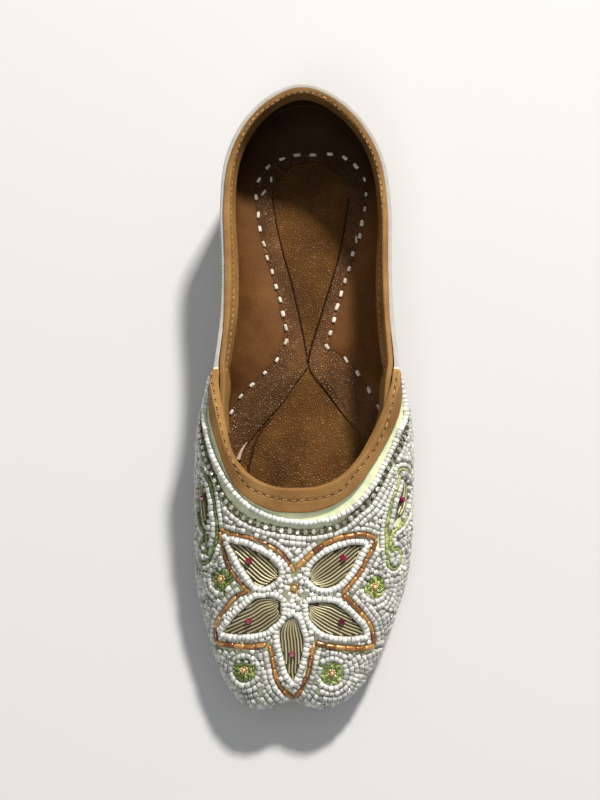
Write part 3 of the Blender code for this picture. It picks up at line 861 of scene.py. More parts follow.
throat = soft_copy("throat_binding", 60, 0.3, 3)
plan_seam = nearest_of([(p.x, p.y, 0) for p in rounded(THROAT_SEAM)])
EAR_TIP, EAR_ROUND, EAR_LEFT, EAR_RIGHT, EAR_HEIGHT = 6.0, 4.5, -35.6, 37.1, 39.2
for vert in throat.verts:
    x, y, z = vert.co / MM
    near = plan_seam.find((x, y, 0))[0]
    outward = (Vector((x, y, 0)) - near).dot(Vector((near.x, near.y + 5, 0)).normalized())
    if outward > 0.6:
        inward = np.interp(y, *(NARROWER_LEFT if x < 0 else NARROWER_RIGHT))
        moved = x - math.copysign(inward * min((outward - 0.6) / 5, 1.0), x)
        before, after = silk_height(x, y), silk_height(moved, y)
        if before and after:
            z += clamped(after - before, 0.0, 2.5)
        x = moved
    u = (y - (EAR_TIP - EAR_ROUND)) / EAR_ROUND
    if u > 0:
        share = 0.25 + 0.75 * math.sqrt(max(0.0, 1 - u * u))
        middle = EAR_LEFT if x < 0 else EAR_RIGHT
        x, z = middle + (x - middle) * share, EAR_HEIGHT + (z - EAR_HEIGHT) * share
    if y > -4:
        bend = ((y + 4) / 10) ** 2
        x, y = x - math.copysign(1.2 * bend, x), y - 1.6 * bend
    vert.co = Vector((x, y, z)) * MM
throat_seam = laid_on(throat, THROAT_SEAM, 0.3)
trough(throat, throat_seam, 1.5, 0.28)
throat_piece = keep_piece("throat_binding_leather", throat, (TAN_LEATHER,),
                          ("throat_binding",))

# %% Collar binding, whose front ends lean on the vamp's lining
collar = soft_copy("collar_binding", 60, 0.3, 3)
for vert in collar.verts:
    y, z = vert.co.y / MM, vert.co.z / MM
    if y < 10:
        low = clamped((39.0 - z) / 8.0)
        vert.co.x += math.copysign(2.2 * MM, vert.co.x) * min((10 - y) / 18, 1.0) * low
collar_seam = laid_on(collar, COLLAR_SEAM, 0.3)
trough(collar, collar_seam, 1.3, 0.3)
collar_piece = keep_piece("collar_binding_leather", collar, (TAN_LEATHER,),
                          ("collar_binding",))

# %% [markdown]
# ## Thread
# The hand stitches are thick waxed cotton, each between two holes. The bindings are sewn by
# machine with fine tan thread, and from above its holes show more than the thread itself.

# %% Sew the stitches
def thread_seats(ground, spots, ways, size, hole, lift, sway):
    """Seats for stitches that lie on a piece, and for the holes at their ends."""
    threads, holes = [], []
    for spot, way in zip(spots, ways):
        place, up, _, _ = ground.find_nearest(spot)
        long = size[0] * random.gauss(1, sway)
        threads.append(seat(place, way, up, (long, size[1] * random.gauss(1, sway), size[2]),
                            lift, sway))
        for end in (-1, 1):
            around, up = ground.find_nearest(place + way * (end * long * 0.52))[:2]
            holes.append(seat(around, way, up, hole, 0.02))
    return threads, holes


def ways_of(line):
    """The direction of a line of places at each of them."""
    return [direction_at(line, k) for k in range(len(line))]


inside_ground = ground_of(margin_piece, insole_piece, slope_piece)
white_threads, white_holes = thread_seats(inside_ground, stitch_spots, ways_of(stitch_spots),
                                          (2.55, 1.5, 1.25), (1.4, 1.5, 0.6), 0.35, 0.12)
LOOSE_STITCHES = [on_margin(x, y) for x, y in ((-16.9, 88.0), (-13.6, 93.7), (21.6, 67.4))]
white_threads += thread_seats(inside_ground, LOOSE_STITCHES, [Vector((0.5, 0.8, 0))] * 3,
                              (2.2, 1.1, 1.0), (1.0, 1.0, 0.4), 0.3, 0.3)[0]
fine_threads, fine_holes = [], []
for piece, line, pitch, hole in ((throat_piece, throat_seam, 3.4, (1.1, 0.8, 0.35)),
                                 (collar_piece, collar_seam, 2.5, (0.6, 0.5, 0.3))):
    spots = evenly(line, pitch)
    made = thread_seats(ground_of(piece), spots, ways_of(spots),
                        (pitch * 0.6, 0.62, 0.5), hole, 0.06, 0.05)
    fine_threads += made[0]
    fine_holes += made[1]
copies_piece("hand_stitches", STITCH, white_threads, WHITE_COTTON,
             smooth_below=9)
copies_piece("hand_stitch_holes", SMALL_ROUND, white_holes, HOLE_SHADE)
copies_piece("binding_stitches", SEED, fine_threads, TAN_COTTON)
copies_piece("binding_stitch_holes", SMALL_ROUND, fine_holes, HOLE_SHADE)

# %% [markdown]
# ## What is already sewn down
# Beads can't overlap, so each one that is sewn on is noted in a grid of small boxes with its
# radius. A new bead looks only in the boxes round it. This is the whole trick that lets rows
# grow from many lines at once and meet without a collision.

# %% A grid of sewn places
class SewnGrid:
    """Places that are taken, each with a radius and a direction, in boxes 3 mm wide."""

    def __init__(self):
        self.boxes = {}

    def box(self, spot):
        return tuple(int(math.floor(c / 3.0)) for c in spot)

    def take(self, spot, radius, way=None):
        self.boxes.setdefault(self.box(spot), []).append((spot, radius, way))

    def take_all(self, spots, radius):
        for spot in spots:
            self.take(spot, radius)

    def near(self, spot):
        """Everything taken in the boxes round a place."""
        x, y, z = self.box(spot)
        for i in (x - 1, x, x + 1):
            for j in (y - 1, y, y + 1):
                for k in (z - 1, z, z + 1):
                    yield from self.boxes.get((i, j, k), ())

    def free(self, spot, radius, slack=1.0):
        """True if nothing taken is closer than both radii, times the slack."""
        return all((other - spot).length >= (radius + reach) * slack
                   for other, reach, _ in self.near(spot))

    def way_near(self, spot):
        """The direction of the nearest bead that has one."""
        found = [((other - spot).length, way) for other, _, way in self.near(spot) if way]
        return min(found, key=lambda f: f[0])[1] if found else Vector((1, 0, 0))


sewn = SewnGrid()

# %% Rows of white seed beads
white_seats, white_tints = [], []


def uneven(line, shortest, longest, closed=False):
    """Places for beads of random lengths that together fill a line: (place, length, way)."""
    line = list(line) + ([line[0]] if closed else [])
    run = np.concatenate(([0.0], np.cumsum([(b - a).length for a, b in zip(line, line[1:])])))
    rows = np.array([tuple(p) for p in line])
    lengths = []
    while not lengths or sum(lengths) < run[-1] - shortest / 2:
        lengths.append(random.uniform(shortest, longest))
    lengths = np.array(lengths) * run[-1] / sum(lengths)
    marks = np.cumsum(lengths) - lengths / 2

    def at(mark):
        return Vector([np.interp(mark, run, rows[:, i]) for i in range(3)])

    return [(at(m), float(n), (at(m + 0.3) - at(m - 0.3)).normalized())
            for m, n in zip(marks, lengths)]


def sew_white(spot, way, across, length, tint):
    """One white seed bead on the silk, a little askew."""
    spot, normal = on_vamp(spot)
    swell = random.gauss(1, 0.05)
    size = (length * 0.96, across * swell, across * swell)
    lift = across * 0.4 + random.gauss(0, 0.07)
    white_seats.append(seat(spot, way, normal, size, lift, 0.08))
    # Painted shade: the beads are painted darker towards both sides of the vamp, more steeply on
    # the left.
    aside = spot.x / 170 if spot.x < 0 else -spot.x / 220
    white_tints.append(clamped(random.gauss(tint + aside, 0.2)))
    return spot


def bead_row(line, across, lengths, tint, closed=False, check=True, slack=0.92):
    """White seed beads end to end on a line. Returns how many were sewn."""
    fresh = []
    for spot, length, way in uneven(line, *lengths, closed):
        if not check or sewn.free(spot, across / 2, slack):
            fresh.append((sew_white(spot, way, across, length, tint), length, way))
    for spot, length, way in fresh:
        sewn.take(spot, min(across, length) * 0.52, way)
    return len(fresh)


# %% [markdown]
# ## The throat's row and its chain of stones
# A margin of bare silk runs round the throat binding, then one row of seed beads, and then a
# chain: foiled stones in dull cups, joined by dark links. Both lines are measured places.

# %% Throat lines
ROW_LINE = ((-37.6, 3.5, 32.4), (-38.5, -6.0, 32.6), (-38.3, -14.6, 32.6), (-37.3, -19.1, 33.9),
            (-36.7, -23.5, 34.6), (-35.6, -27.8, 35.6), (-33.9, -32.3, 36.4), (-31.8, -37.1, 36.6),
            (-29.4, -41.3), (-25.7, -46.0), (-21.6, -49.7), (-17.5, -52.2), (-13.3, -54.0),
            (-8.7, -55.3), (-3.6, -56.0), (1.6, -56.2), (5.0, -55.8), (8.7, -55.1), (13.9, -53.3),
            (19.0, -50.0), (23.2, -45.8), (27.0, -40.5), (29.3, -36.2), (31.9, -31.3, 35.2),
            (34.2, -25.9, 34.7), (36.0, -21.5, 33.8), (37.3, -17.6, 33.1), (39.1, -13.2, 30.8),
            (40.0, -6.0, 30.4), (38.6, 3.5, 31.6))
CHAIN_LINE = ((-38.2, 4.6, 28.0), (-40.0, -6.0, 27.0), (-40.4, -15.4, 25.6), (-39.6, -21.9, 28.8),
              (-38.3, -27.4, 31.4), (-36.6, -33.2, 33.4), (-34.7, -38.2, 34.4), (-32.6, -43.0),
              (-29.4, -48.3), (-25.8, -52.2), (-21.6, -55.1), (-16.4, -57.2), (-11.3, -58.5),
              (-6.1, -59.3), (-1.0, -59.8), (5.1, -59.5), (10.8, -58.2), (15.4, -56.1),
              (20.1, -51.9), (24.3, -48.2), (27.4, -43.5), (29.6, -39.3), (32.2, -34.3, 34.0),
              (34.6, -29.8, 33.0), (37.1, -25.2, 31.3), (38.5, -21.1, 30.1), (40.1, -16.6, 27.4),
              (40.8, -6.0, 26.4), (39.2, 4.6, 27.6))
CHAIN_PITCH = 3.1

row_line = drawn(ROW_LINE)
chain_line = drawn(CHAIN_LINE)
print("throat row:", bead_row(row_line, 2.4, (1.5, 2.1), 0.78, check=False))
sewn.take_all(row_line, 0.9)

# %% Stones, cups and links
stone_seats, cup_seats, link_seats, prong_seats = [], [], [], []
spots = evenly(chain_line, CHAIN_PITCH / 2)
for k, spot in enumerate(spots):
    spot, normal = on_vamp(spot)
    way = direction_at(spots, k)
    side = normal.cross(way).normalized()
    sewn.take(spot, 1.1)
    if k % 2:
        link_seats.append(seat(spot, way, normal, (1.7, 1.5, 0.8), 0.5, 0.3))
        for aside in (-0.95, 0.95):
            link_seats.append(seat(spot + side * aside, way, normal, (1.3, 0.9, 0.8), 0.45, 0.4))
    else:
        cup_seats.append(seat(spot, way, normal, (2.35, 2.35, 1.6), 0.4))
        size = random.uniform(1.9, 2.25)
        stone_seats.append(seat(spot, way, normal, (size, size, 1.6), 1.1, 0.12))
        for ahead, aside in ((0.85, 0.85), (-0.85, 0.85), (0.85, -0.85), (-0.85, -0.85)):
            prong_seats.append(seat(spot + way * ahead + side * aside, way, normal,
                                    (0.5, 0.5, 0.7), 1.15))
copies_piece("chain_stones", STONE, stone_seats, FOILED_STONE, smooth_below=0)
copies_piece("chain_cups", ROUND, cup_seats, DULL_CUP)
copies_piece("chain_links", ROUND, link_seats, DULL_CUP)
copies_piece("chain_prongs", SMALL_ROUND, prong_seats, DULL_CUP)

# %% [markdown]
# ## The five-petal flower
# The flower is a traditional ornament of this work. Its outline is orange glass tubes sewn end
# to end, so each run between a tip and a valley is cut into tubes of 4 to 6 mm. A curve with a
# round bevel makes each tube, because it then bends with the vamp.

# %% Flower outline runs: a thickness, then places in plan
FLOWER_RUNS = (
    (2.4, (-2.8, -73.0), (1.2, -69.3), (5.4, -65.8), (10.5, -62.9), (16.9, -60.9), (23.4, -60.1),
     (27.4, -61.2)),
    (1.9, (27.5, -61.7), (27.0, -64.2), (24.4, -68.5), (21.6, -73.9), (18.1, -78.5),
     (14.7, -82.4)),
    (2.1, (14.9, -83.2), (17.6, -85.1), (21.5, -89.4), (24.9, -93.4), (26.4, -97.6),
     (26.5, -100.6)),
    (2.5, (26.1, -101.4), (21.5, -103.0), (15.3, -102.8), (8.9, -102.1), (4.3, -101.1)),
    (2.0, (4.0, -102.0), (2.4, -107.8), (1.3, -113.1), (-0.8, -117.8), (-3.4, -120.0)),
    (1.9, (-4.6, -120.0), (-8.1, -118.3), (-10.3, -115.4), (-11.7, -109.5), (-13.0, -103.8),
     (-13.8, -102.3)),
    (2.5, (-14.5, -101.9), (-19.0, -102.4), (-24.9, -102.1), (-31.0, -100.8), (-33.2, -99.6)),
    (2.0, (-33.6, -98.8), (-33.9, -95.6), (-32.5, -91.4), (-29.4, -87.1), (-26.4, -83.9),
     (-21.7, -81.6)),
    (1.8, (-20.6, -81.6), (-23.7, -79.3), (-27.7, -74.0), (-30.2, -68.3), (-31.6, -62.6),
     (-32.3, -58.7)),
    (1.8, (-32.0, -57.8), (-27.7, -59.7), (-22.0, -61.3), (-15.7, -63.6), (-9.8, -67.0),
     (-5.7, -71.5), (-3.3, -74.8)),
)


# %% Make tubes
def tube_piece(name, runs, material, sides=1):
    """Round tubes, each a list of (place, radius), as one mesh with a tint for each tube."""
    curve = bpy.data.curves.new(name, "CURVE")
    curve.dimensions = "3D"
    curve.bevel_depth = MM
    curve.bevel_resolution = sides
    curve.use_fill_caps = True
    for run in runs:
        spline = curve.splines.new("POLY")
        spline.points.add(len(run) - 1)
        for point, (place, radius) in zip(spline.points, run):
            point.co = (*(place * MM), 1)
            point.radius = radius
    holder = put(name, curve)
    mesh = bpy.data.meshes.new_from_object(
        holder.evaluated_get(bpy.context.evaluated_depsgraph_get()))
    bpy.data.objects.remove(holder)
    mesh.materials.clear()
    bm = bmesh.new()
    bm.from_mesh(mesh)
    bmesh.ops.remove_doubles(bm, verts=bm.verts, dist=1e-7)
    layer = bm.verts.layers.float.new("tint")
    done = set()
    for vert in bm.verts:
        if vert in done:
            continue
        tint, reach = random.random(), [vert]
        while reach:
            near = reach.pop()
            if near not in done:
                done.add(near)
                near[layer] = tint
                reach.extend(e.other_vert(near) for e in near.link_edges)
    bmesh.ops.recalc_face_normals(bm, faces=bm.faces)
    return keep_piece(name, bm, (material,))


# %% Orange tubes
TUBE_GAP, TUBE_PLACES = 0.12, 6
tubes = []
flower_outline = []
for thickness, *places in FLOWER_RUNS:
    line = drawn(places)
    flower_outline.extend(line)
    sewn.take_all(line, thickness / 2)
    length = 0.5 * len(line)
    count = max(2, round(length / random.uniform(4.0, 5.4)))
    cuts = np.linspace(0, len(line) - 1, count + 1)
    for a, b in zip(cuts, cuts[1:]):
        radius = thickness / 2 * random.uniform(0.84, 0.98)
        aside = random.gauss(0, 0.12)
        tube = []
        for mark in np.linspace(a + TUBE_GAP, b - TUBE_GAP, TUBE_PLACES):
            k = int(mark)
            spot = line[k].lerp(line[min(k + 1, len(line) - 1)], mark - k)
            spot, normal = on_vamp(spot)
            side = normal.cross(direction_at(line, min(k, len(line) - 2)))
            end = 0.93 if mark in (a + TUBE_GAP, b - TUBE_GAP) else 1.0
            tube.append((spot + normal * (radius * 0.85) + side * aside, radius * end))
        tubes.append(tube)
tube_piece("flower_outline_tubes", tubes, COPPER_GLASS, 2)
print("outline tubes:", len(tubes))

# %% [markdown]
# ## Dark joints, painted gap shade and a raw edge inside
# The insole is joined from two pieces, and their joint is a dark line in front of the crossing.
# Behind the crossing the shade in the gap along each cut edge of the margin is painted as a dark
# line. At its left front end the margin shows its pale raw edge. All are thin tubes that lie on
# the leather or are sunk into it.

# %% Joint of the insole, painted shade along the margin's edges, and raw edge of the margin
def tube_on(ground, places, sizes, sunk):
    """A tube along places on a piece. Its radius changes, and a share of it is sunk."""
    line = evenly(rounded(places), 0.6)
    return [(ground.find_nearest(spot)[0] + Vector((0, 0, 0.12 - sunk * radius)), radius)
            for spot, radius in zip(line, np.linspace(*sizes, len(line)))]


JOINT = ((-13.0, -6.6, 7), (-17.4, -11.7, 7), (-20.5, -19.5, 7), (-22.65, -30.0, 7))
EDGE_END = ((-26.7, -24.9, 7.6), (-25.2, -20.7, 7.6), (-23.0, -17.5, 7.6))
# Painted shade: dark lines along the margin's cut edges, where the lifted edges throw shadow on the
# insole.
GAP_SHADE_LEFT = [(x + 0.45, y, 9 + max(0, y - 25) * 0.1) for x, y in SEEN_LEFT[:7]]
GAP_SHADE_RIGHT = [(x - 0.45, y, 9 + max(0, y - 25) * 0.1) for x, y in SEEN_RIGHT[:5]]
insole_ground = ground_of(insole_piece)
tube_piece("insole_joint_and_gap_shade", [tube_on(insole_ground, JOINT, (0.3, 0.62), 0.4),
                             tube_on(insole_ground, GAP_SHADE_LEFT, (0.3, 0.38), 0.0),
                             tube_on(insole_ground, GAP_SHADE_RIGHT, (0.26, 0.34), 0.0)],
           GAP_SHADE)
tube_piece("margin_raw_edge", [tube_on(ground_of(margin_piece), EDGE_END, (1.1, 0.12), 0.5)],
           RAW_EDGE)

# %% [markdown]
# ## Petals of coiled wire
# Each petal is filled with short lengths of coiled gilt wire, a pale one and a dark one in turn.
# Near the tip they lie along the petal, and from its widest place they bend in with its edge and
# meet at the base, like the veins of a leaf. The middle wires are laid first, and a wire stops
# where it would lie on one already sewn. Coils show as rings, so the tube's radius goes up and
# down along it. Under them lies a dark olive padding, which shows between the wires and is
# partly painted shade there.

# %% Petal edges, from tip to base
PETALS = {
    "upper_left": (((-28.6, -63.2), (-23.4, -64.5), (-19.3, -66.3), (-15.7, -68.4),
                    (-12.5, -70.3), (-10.1, -73.5), (-9.9, -76.6)),
                   ((-28.6, -63.2), (-26.5, -66.8), (-25.0, -70.0), (-22.9, -73.3),
                    (-20.8, -76.5), (-18.5, -79.2), (-14.5, -79.8), (-9.9, -76.6))),
    "upper_right": (((22.9, -64.2), (18.9, -64.2), (14.4, -65.4), (9.9, -67.3), (5.7, -70.1),
                     (2.9, -73.5), (1.9, -77.6)),
                    ((22.9, -64.2), (21.1, -66.9), (18.5, -72.4), (15.3, -76.4), (12.1, -79.2),
                     (8.5, -80.4), (5.2, -80.0), (1.9, -77.6))),
    "lower_left": (((-30.6, -96.6), (-26.7, -91.4), (-22.3, -87.6), (-18.4, -84.6),
                    (-14.6, -84.2), (-11.3, -84.5), (-9.3, -86.0)),
                   ((-30.6, -96.6), (-26.4, -97.5), (-21.5, -97.6), (-16.0, -96.8),
                    (-12.6, -94.8), (-9.4, -91.6), (-9.3, -86.0))),
    "lower_right": (((22.9, -97.4), (21.6, -94.6), (18.9, -92.0), (15.3, -88.8), (11.8, -86.6),
                     (7.3, -86.0), (1.6, -86.6)),
                    ((22.9, -97.4), (16.9, -98.4), (12.4, -98.2), (8.3, -97.4), (5.1, -95.3),
                     (2.4, -92.3), (1.6, -86.6))),
    "bottom": (((-4.3, -115.0), (-6.6, -111.5), (-7.4, -108.0), (-8.4, -104.6), (-9.2, -101.0),
                (-9.4, -97.4), (-7.6, -93.6), (-4.3, -91.2)),
               ((-4.3, -115.0), (-3.0, -112.4), (-1.8, -108.9), (-0.7, -105.0), (-0.4, -100.2),
                (-1.6, -95.8), (-2.8, -92.8), (-4.3, -91.2))),
}
WIRE_PITCH = 0.66

# %% A leaf that can be filled with wires
class Leaf:
    """A petal or leaf: its tip, its axis, and how far each edge lies from the axis."""

    def __init__(self, upper_edge, lower_edge):
        edges = [drawn(upper_edge, 0.3), drawn(lower_edge, 0.3)]
        self.tip, base = edges[0][0], edges[0][-1]
        self.axis = (base - self.tip).normalized()
        up = on_vamp(self.tip.lerp(base, 0.5))[1]
        self.across = up.cross(self.axis).normalized()
        self.marks = np.linspace(0, (base - self.tip).length, 70)
        self.edges = []
        for edge in edges:
            along = np.maximum.accumulate([(p - self.tip).dot(self.axis) for p in edge])
            out = [(p - self.tip).dot(self.across) for p in edge]
            self.edges.append(np.interp(self.marks, along, out))

    def place(self, mark, out):
        """The silk's place at this distance along the axis and this far to its side."""
        return on_vamp(self.tip + self.axis * mark + self.across * out)[0]

    def wires(self, pitch):
        """Wire lines in the order in which they are laid: (number from the middle, places)."""
        lines = []
        middle = (self.edges[0] + self.edges[1]) / 2
        for side in (0, 1):
            half = self.edges[side] - middle
            wide = int(np.argmax(np.abs(half)))
            count = max(2, round(abs(half[wide]) / pitch))
            for k in range(side, count + 1):
                out = half * (k / count * 0.96)
                out[:wide] = out[wide]
                room = np.abs(half) - np.abs(out)
                line = [self.place(m, o) for m, o, r in zip(self.marks, middle + out, room)
                        if r > 0.18]
                lines.append((k, line))
        return sorted(lines, key=lambda entry: entry[0])

    def keep_padding_and_shade(self, name):
        """Keeps a thin dark pad between the edges, just over the silk. It is partly painted shade
        between the wires.
        """
        pad = bmesh.new()
        bmesh.ops.create_grid(pad, x_segments=26, y_segments=8, size=0.5)
        for vert in pad.verts:
            mark = (vert.co.x + 0.5) * self.marks[-1]
            low, high = (np.interp(mark, self.marks, edge) for edge in self.edges)
            spot = self.place(mark, low + (high - low) * (vert.co.y + 0.5))
            vert.co = (spot + on_vamp(spot)[1] * 0.12) * MM
        bmesh.ops.remove_doubles(pad, verts=pad.verts, dist=1e-5)
        bmesh.ops.recalc_face_normals(pad, faces=pad.faces)
        keep_piece(name + "_padding_and_shade", thickened(pad, 0.1), (OLIVE_PAD_AND_SHADE,))


# %% Lay the wires
def ringed(line, radius, coil, lift):
    """A tube's places and radii with the rings of a coiled wire."""
    steps = evenly(line, coil / 2)
    tube = []
    for k, spot in enumerate(steps):
        spot, normal = on_vamp(spot)
        grow = 0.6 if k in (0, len(steps) - 1) else 1.0 if k % 2 else 0.82
        tube.append((spot + normal * lift, radius * grow))
    return tube


def wire_piece(name, lines, material, *sizes):
    """Coiled wires along lines as one piece. The sizes are a radius, a coil and a lift."""
    tube_piece(name, [ringed(line, *sizes) for line in lines], material)


def lay(leaf, pitch, even, odd):
    """Lays a leaf's wires and sorts them by their number from the middle."""
    laid = SewnGrid()
    for k, line in leaf.wires(pitch):
        kept = []
        for spot in line:
            if not laid.free(spot, pitch / 2, 0.55):
                if len(kept) > 3:
                    break
                kept = []
                continue
            kept.append(spot)
        laid.take_all(kept, pitch / 2)
        if len(kept) > 3:
            (odd if k % 2 else even).append(kept)


pale_wires, dark_wires = [], []
petals = {name: Leaf(*edges) for name, edges in PETALS.items()}
for leaf in petals.values():
    lay(leaf, WIRE_PITCH, pale_wires, dark_wires)
print("wires:", len(pale_wires), "pale,", len(dark_wires), "dark")
wire_piece("petal_wires_pale", pale_wires, PALE_WIRE, 0.37, 0.54, 0.55)
wire_piece("petal_wires_dark", dark_wires, DARK_WIRE, 0.34, 0.5, 0.32)
for name, leaf in petals.items():
    leaf.keep_padding_and_shade(name)

# %% Stones of the petals and the middle of the flower
RUBIES = ((-21.3, -70.4), (15.0, -69.4), (-21.3, -92.9), (14.2, -93.3), (-4.7, -105.4),
          (-38.9, -44.7, 26.6), (38.2, -45.3, 25.4))
ruby_seats = []
for place in RUBIES:
    spot, normal = on_vamp(dropped(place))
    ruby_seats.append(seat(spot, (1, 0.2, 0), normal, (2.8, 2.8, 2.6), 1.4, 0.1))
copies_piece("ruby_stones", STONE, ruby_seats, RUBY_STONE, smooth_below=0)

# %% [markdown]
# ## Small green flowers and the gold centre
# A gold bead sits in a ring of coiled wire. The small flowers put cut green beads round it, at
# uneven angles, as they come from the needle.

# %% Gold rings and green petals
FLOWER_MIDDLE = (-3.9, -80.7)
GREEN_FLOWERS = ((-31.7, -76.6), (26.9, -79.4), (-22.9, -111.2), (10.5, -112.4))


def ring_path(spot, normal, radius, count):
    """Places on a circle round a spot of the silk."""
    side = normal.orthogonal().normalized()
    other = normal.cross(side)
    turns = [2 * math.pi * k / count for k in range(count)]
    return [on_vamp(spot + side * math.cos(t) * radius + other * math.sin(t) * radius)[0]
            for t in turns]


gold_seats, ring_seats, green_seats, green_tints = [], [], [], []


def sew_green(spot, way, size, lift):
    """One cut green bead. Those towards the left are painted darker, as painted shade."""
    spot, normal = on_vamp(spot)
    green_seats.append(seat(spot, way, normal, size, lift, 0.16))
    green_tints.append(clamped(random.gauss(0.52 + spot.x / 130, 0.2)))


spot, normal = on_vamp(dropped(FLOWER_MIDDLE))
gold_seats.append(seat(spot, (1, 0, 0), normal, (2.6, 2.6, 2.4), 1.1))
sewn.take(spot, 2.3)
for place in ring_path(spot, normal, 1.85, 14):
    ring_seats.append(seat(place, normal.cross(place - spot), normal, (0.95, 1.0, 1.0), 0.5))
for centre in GREEN_FLOWERS:
    spot, normal = on_vamp(dropped(centre))
    sewn.take(spot, 4.0)
    gold_seats.append(seat(spot, (1, 0, 0), normal, (2.1, 2.1, 2.0), 1.5))
    for place in ring_path(spot, normal, 1.4, 10):
        ring_seats.append(seat(place, normal.cross(place - spot), normal, (0.9, 0.9, 0.9), 0.9))
    for reach, count, long in ((3.8, 12, 2.8), (2.6, 9, 2.0)):
        for place in ring_path(spot, normal, reach, count):
            out = (place - spot).normalized()
            out.y *= 1.15
            way = normal.cross(out) * random.uniform(-0.7, 1) + out * random.uniform(0.3, 1)
            sew_green(place + out * random.gauss(0, 0.35), way,
                      (random.uniform(long - 0.7, long + 0.7), 1.35, 1.35), 0.7)
copies_piece("gold_middles", ROUND, gold_seats, GOLD_BEAD)
copies_piece("gold_rings", ROUND, ring_seats, GOLD_BEAD)

# %% [markdown]
# ## Two paisleys
# On each side of the vamp a paisley hangs from near the ear: a pointed drop with a leaf of wire
# and a ruby in it, and a tail that curls up at its end. Its line is green cut beads, with a row
# of white beads inside.

# %% Paisley lines, right then left
PAISLEY_RIGHT = ((42.0, -36.5, 17), (41.6, -33.4, 21), (39.7, -33.1, 27), (37.8, -34.9, 31),
                 (36.6, -37.6), (35.9, -40.6), (34.4, -44.6), (33.4, -47.6), (32.7, -51.0),
                 (32.0, -54.0), (31.5, -57.4), (31.5, -61.0), (31.7, -64.6), (32.2, -68.4),
                 (33.2, -71.0, 24.5), (34.8, -72.0, 22.6), (36.6, -71.0, 21), (37.9, -68.6, 20),
                 (38.1, -66.0, 21), (37.0, -64.2, 23), (35.6, -64.6, 25))
PAISLEY_RIGHT_INNER = ((42.2, -39.5, 16), (42.3, -44.0, 16), (41.6, -48.6, 18),
                       (40.2, -52.4, 21.5), (38.3, -55.3, 24), (36.0, -57.8, 26.4),
                       (34.8, -60.0, 27), (34.5, -62.6, 26.6), (35.2, -64.6, 25.2))
PAISLEY_LEFT = ((-41.4, -36.0, 21), (-40.9, -32.8, 25), (-39.5, -31.9, 28), (-38.4, -34.4),
                (-36.9, -37.9), (-35.7, -41.3), (-35.0, -44.5), (-34.4, -47.4), (-34.0, -50.6),
                (-33.5, -54.0), (-33.3, -57.4), (-33.5, -60.6), (-34.2, -63.4), (-35.2, -66.2),
                (-36.4, -68.8, 23.6), (-38.1, -69.6, 21.8), (-39.8, -68.2, 19.8),
                (-40.6, -65.4, 18.8), (-40.2, -62.2, 20.4), (-38.8, -60.4, 23))
PAISLEY_LEFT_INNER = ((-42.0, -39.6, 18), (-42.1, -44.0, 18), (-41.8, -48.4, 19),
                      (-41.0, -52.4, 21), (-39.8, -55.6, 22.6), (-38.2, -58.2, 24.6),
                      (-37.5, -60.6, 25), (-37.4, -63.0, 24.6), (-38.0, -65.2, 23.4))
paisley_lines = [drawn(t) for t in (PAISLEY_RIGHT, PAISLEY_RIGHT_INNER, PAISLEY_LEFT,
                                    PAISLEY_LEFT_INNER)]
for line in paisley_lines:
    spots = evenly(line, 2.1)
    for k, spot in enumerate(spots):
        sew_green(spot, direction_at(spots, k), (random.uniform(1.8, 2.4), 1.5, 1.5), 0.6)
    sewn.take_all(line, 0.8)
copies_piece("green_cut_beads", SEED, green_seats, GREEN_GLASS, green_tints)

# %% Paisley leaves and white rows
LEAF_RIGHT = (((39.7, -36.4, 24.2), (38.5, -41.0, 25.4), (37.0, -46.0, 26.2),
               (36.0, -50.0, 26.6), (34.9, -54.0, 26.3)),
              ((39.7, -36.4, 24.2), (41.0, -40.5, 20.8), (40.9, -44.8, 20.3),
               (39.0, -49.8, 22.2), (34.9, -54.0, 26.3)))
LEAF_LEFT = (((-39.9, -36.2, 25.6), (-38.6, -40.6, 27.6), (-37.6, -46.0), (-37.2, -51.0),
              (-37.4, -56.8, 26)),
             ((-39.9, -36.2, 25.6), (-41.0, -40.0, 22.6), (-41.2, -46.0, 21.6),
              (-40.4, -52.0, 22.6), (-37.4, -56.8, 26)))
leaf_pale, leaf_dark = [], []
for name, edges, pitch in (("right_leaf", LEAF_RIGHT, 1.0), ("left_leaf", LEAF_LEFT, 1.2)):
    leaf = Leaf(*edges)
    lay(leaf, pitch, leaf_dark, leaf_pale)
    leaf.keep_padding_and_shade(name)
    for edge in edges:
        sewn.take_all(drawn(edge, 0.4), 0.5)
for line in leaf_pale + leaf_dark:
    sewn.take_all(line, 0.75)
wire_piece("paisley_wires_pale", leaf_pale, PALE_WIRE, 0.4, 0.54, 0.5)
wire_piece("paisley_wires_dark", leaf_dark, DARK_WIRE, 0.36, 0.5, 0.4)

# %% White rows round the petals and inside the paisleys
def turns_left(line):
    """True if a closed line on the vamp goes counterclockwise seen from above."""
    return sum(a.x * b.y - b.x * a.y for a, b in zip(line, line[1:] + line[:1])) > 0


petal_lines = {name: drawn(upper) + drawn(lower)[::-1][1:-1]
               for name, (upper, lower) in PETALS.items()}
for line in petal_lines.values():
    sewn.take_all(line, 0.1)
for name, line in petal_lines.items():
    away = -1.42 if turns_left(line) else 1.42
    ring = [spot for spot in shifted(line, away, True) if spot]
    print(name, "row:", bead_row(ring, 2.6, (1.5, 2.0), 0.8, closed=True, slack=0.72))
for line, away in zip(paisley_lines, (-1.75, 1.75, 1.75, -1.75)):
    ring = [spot for spot in shifted(line, away) if spot]
    bead_row(ring, 1.9, (1.3, 1.8), 0.65, slack=0.8)

# %% Odd beads that close the gaps inside the flower
def inside(line, x, y):
    """True if a plan position lies inside a closed line."""
    odd = False
    for a, b in zip(line, line[1:] + line[:1]):
        if (a.y > y) != (b.y > y) and x < a.x + (b.x - a.x) * (y - a.y) / (b.y - a.y):
            odd = not odd
    return odd


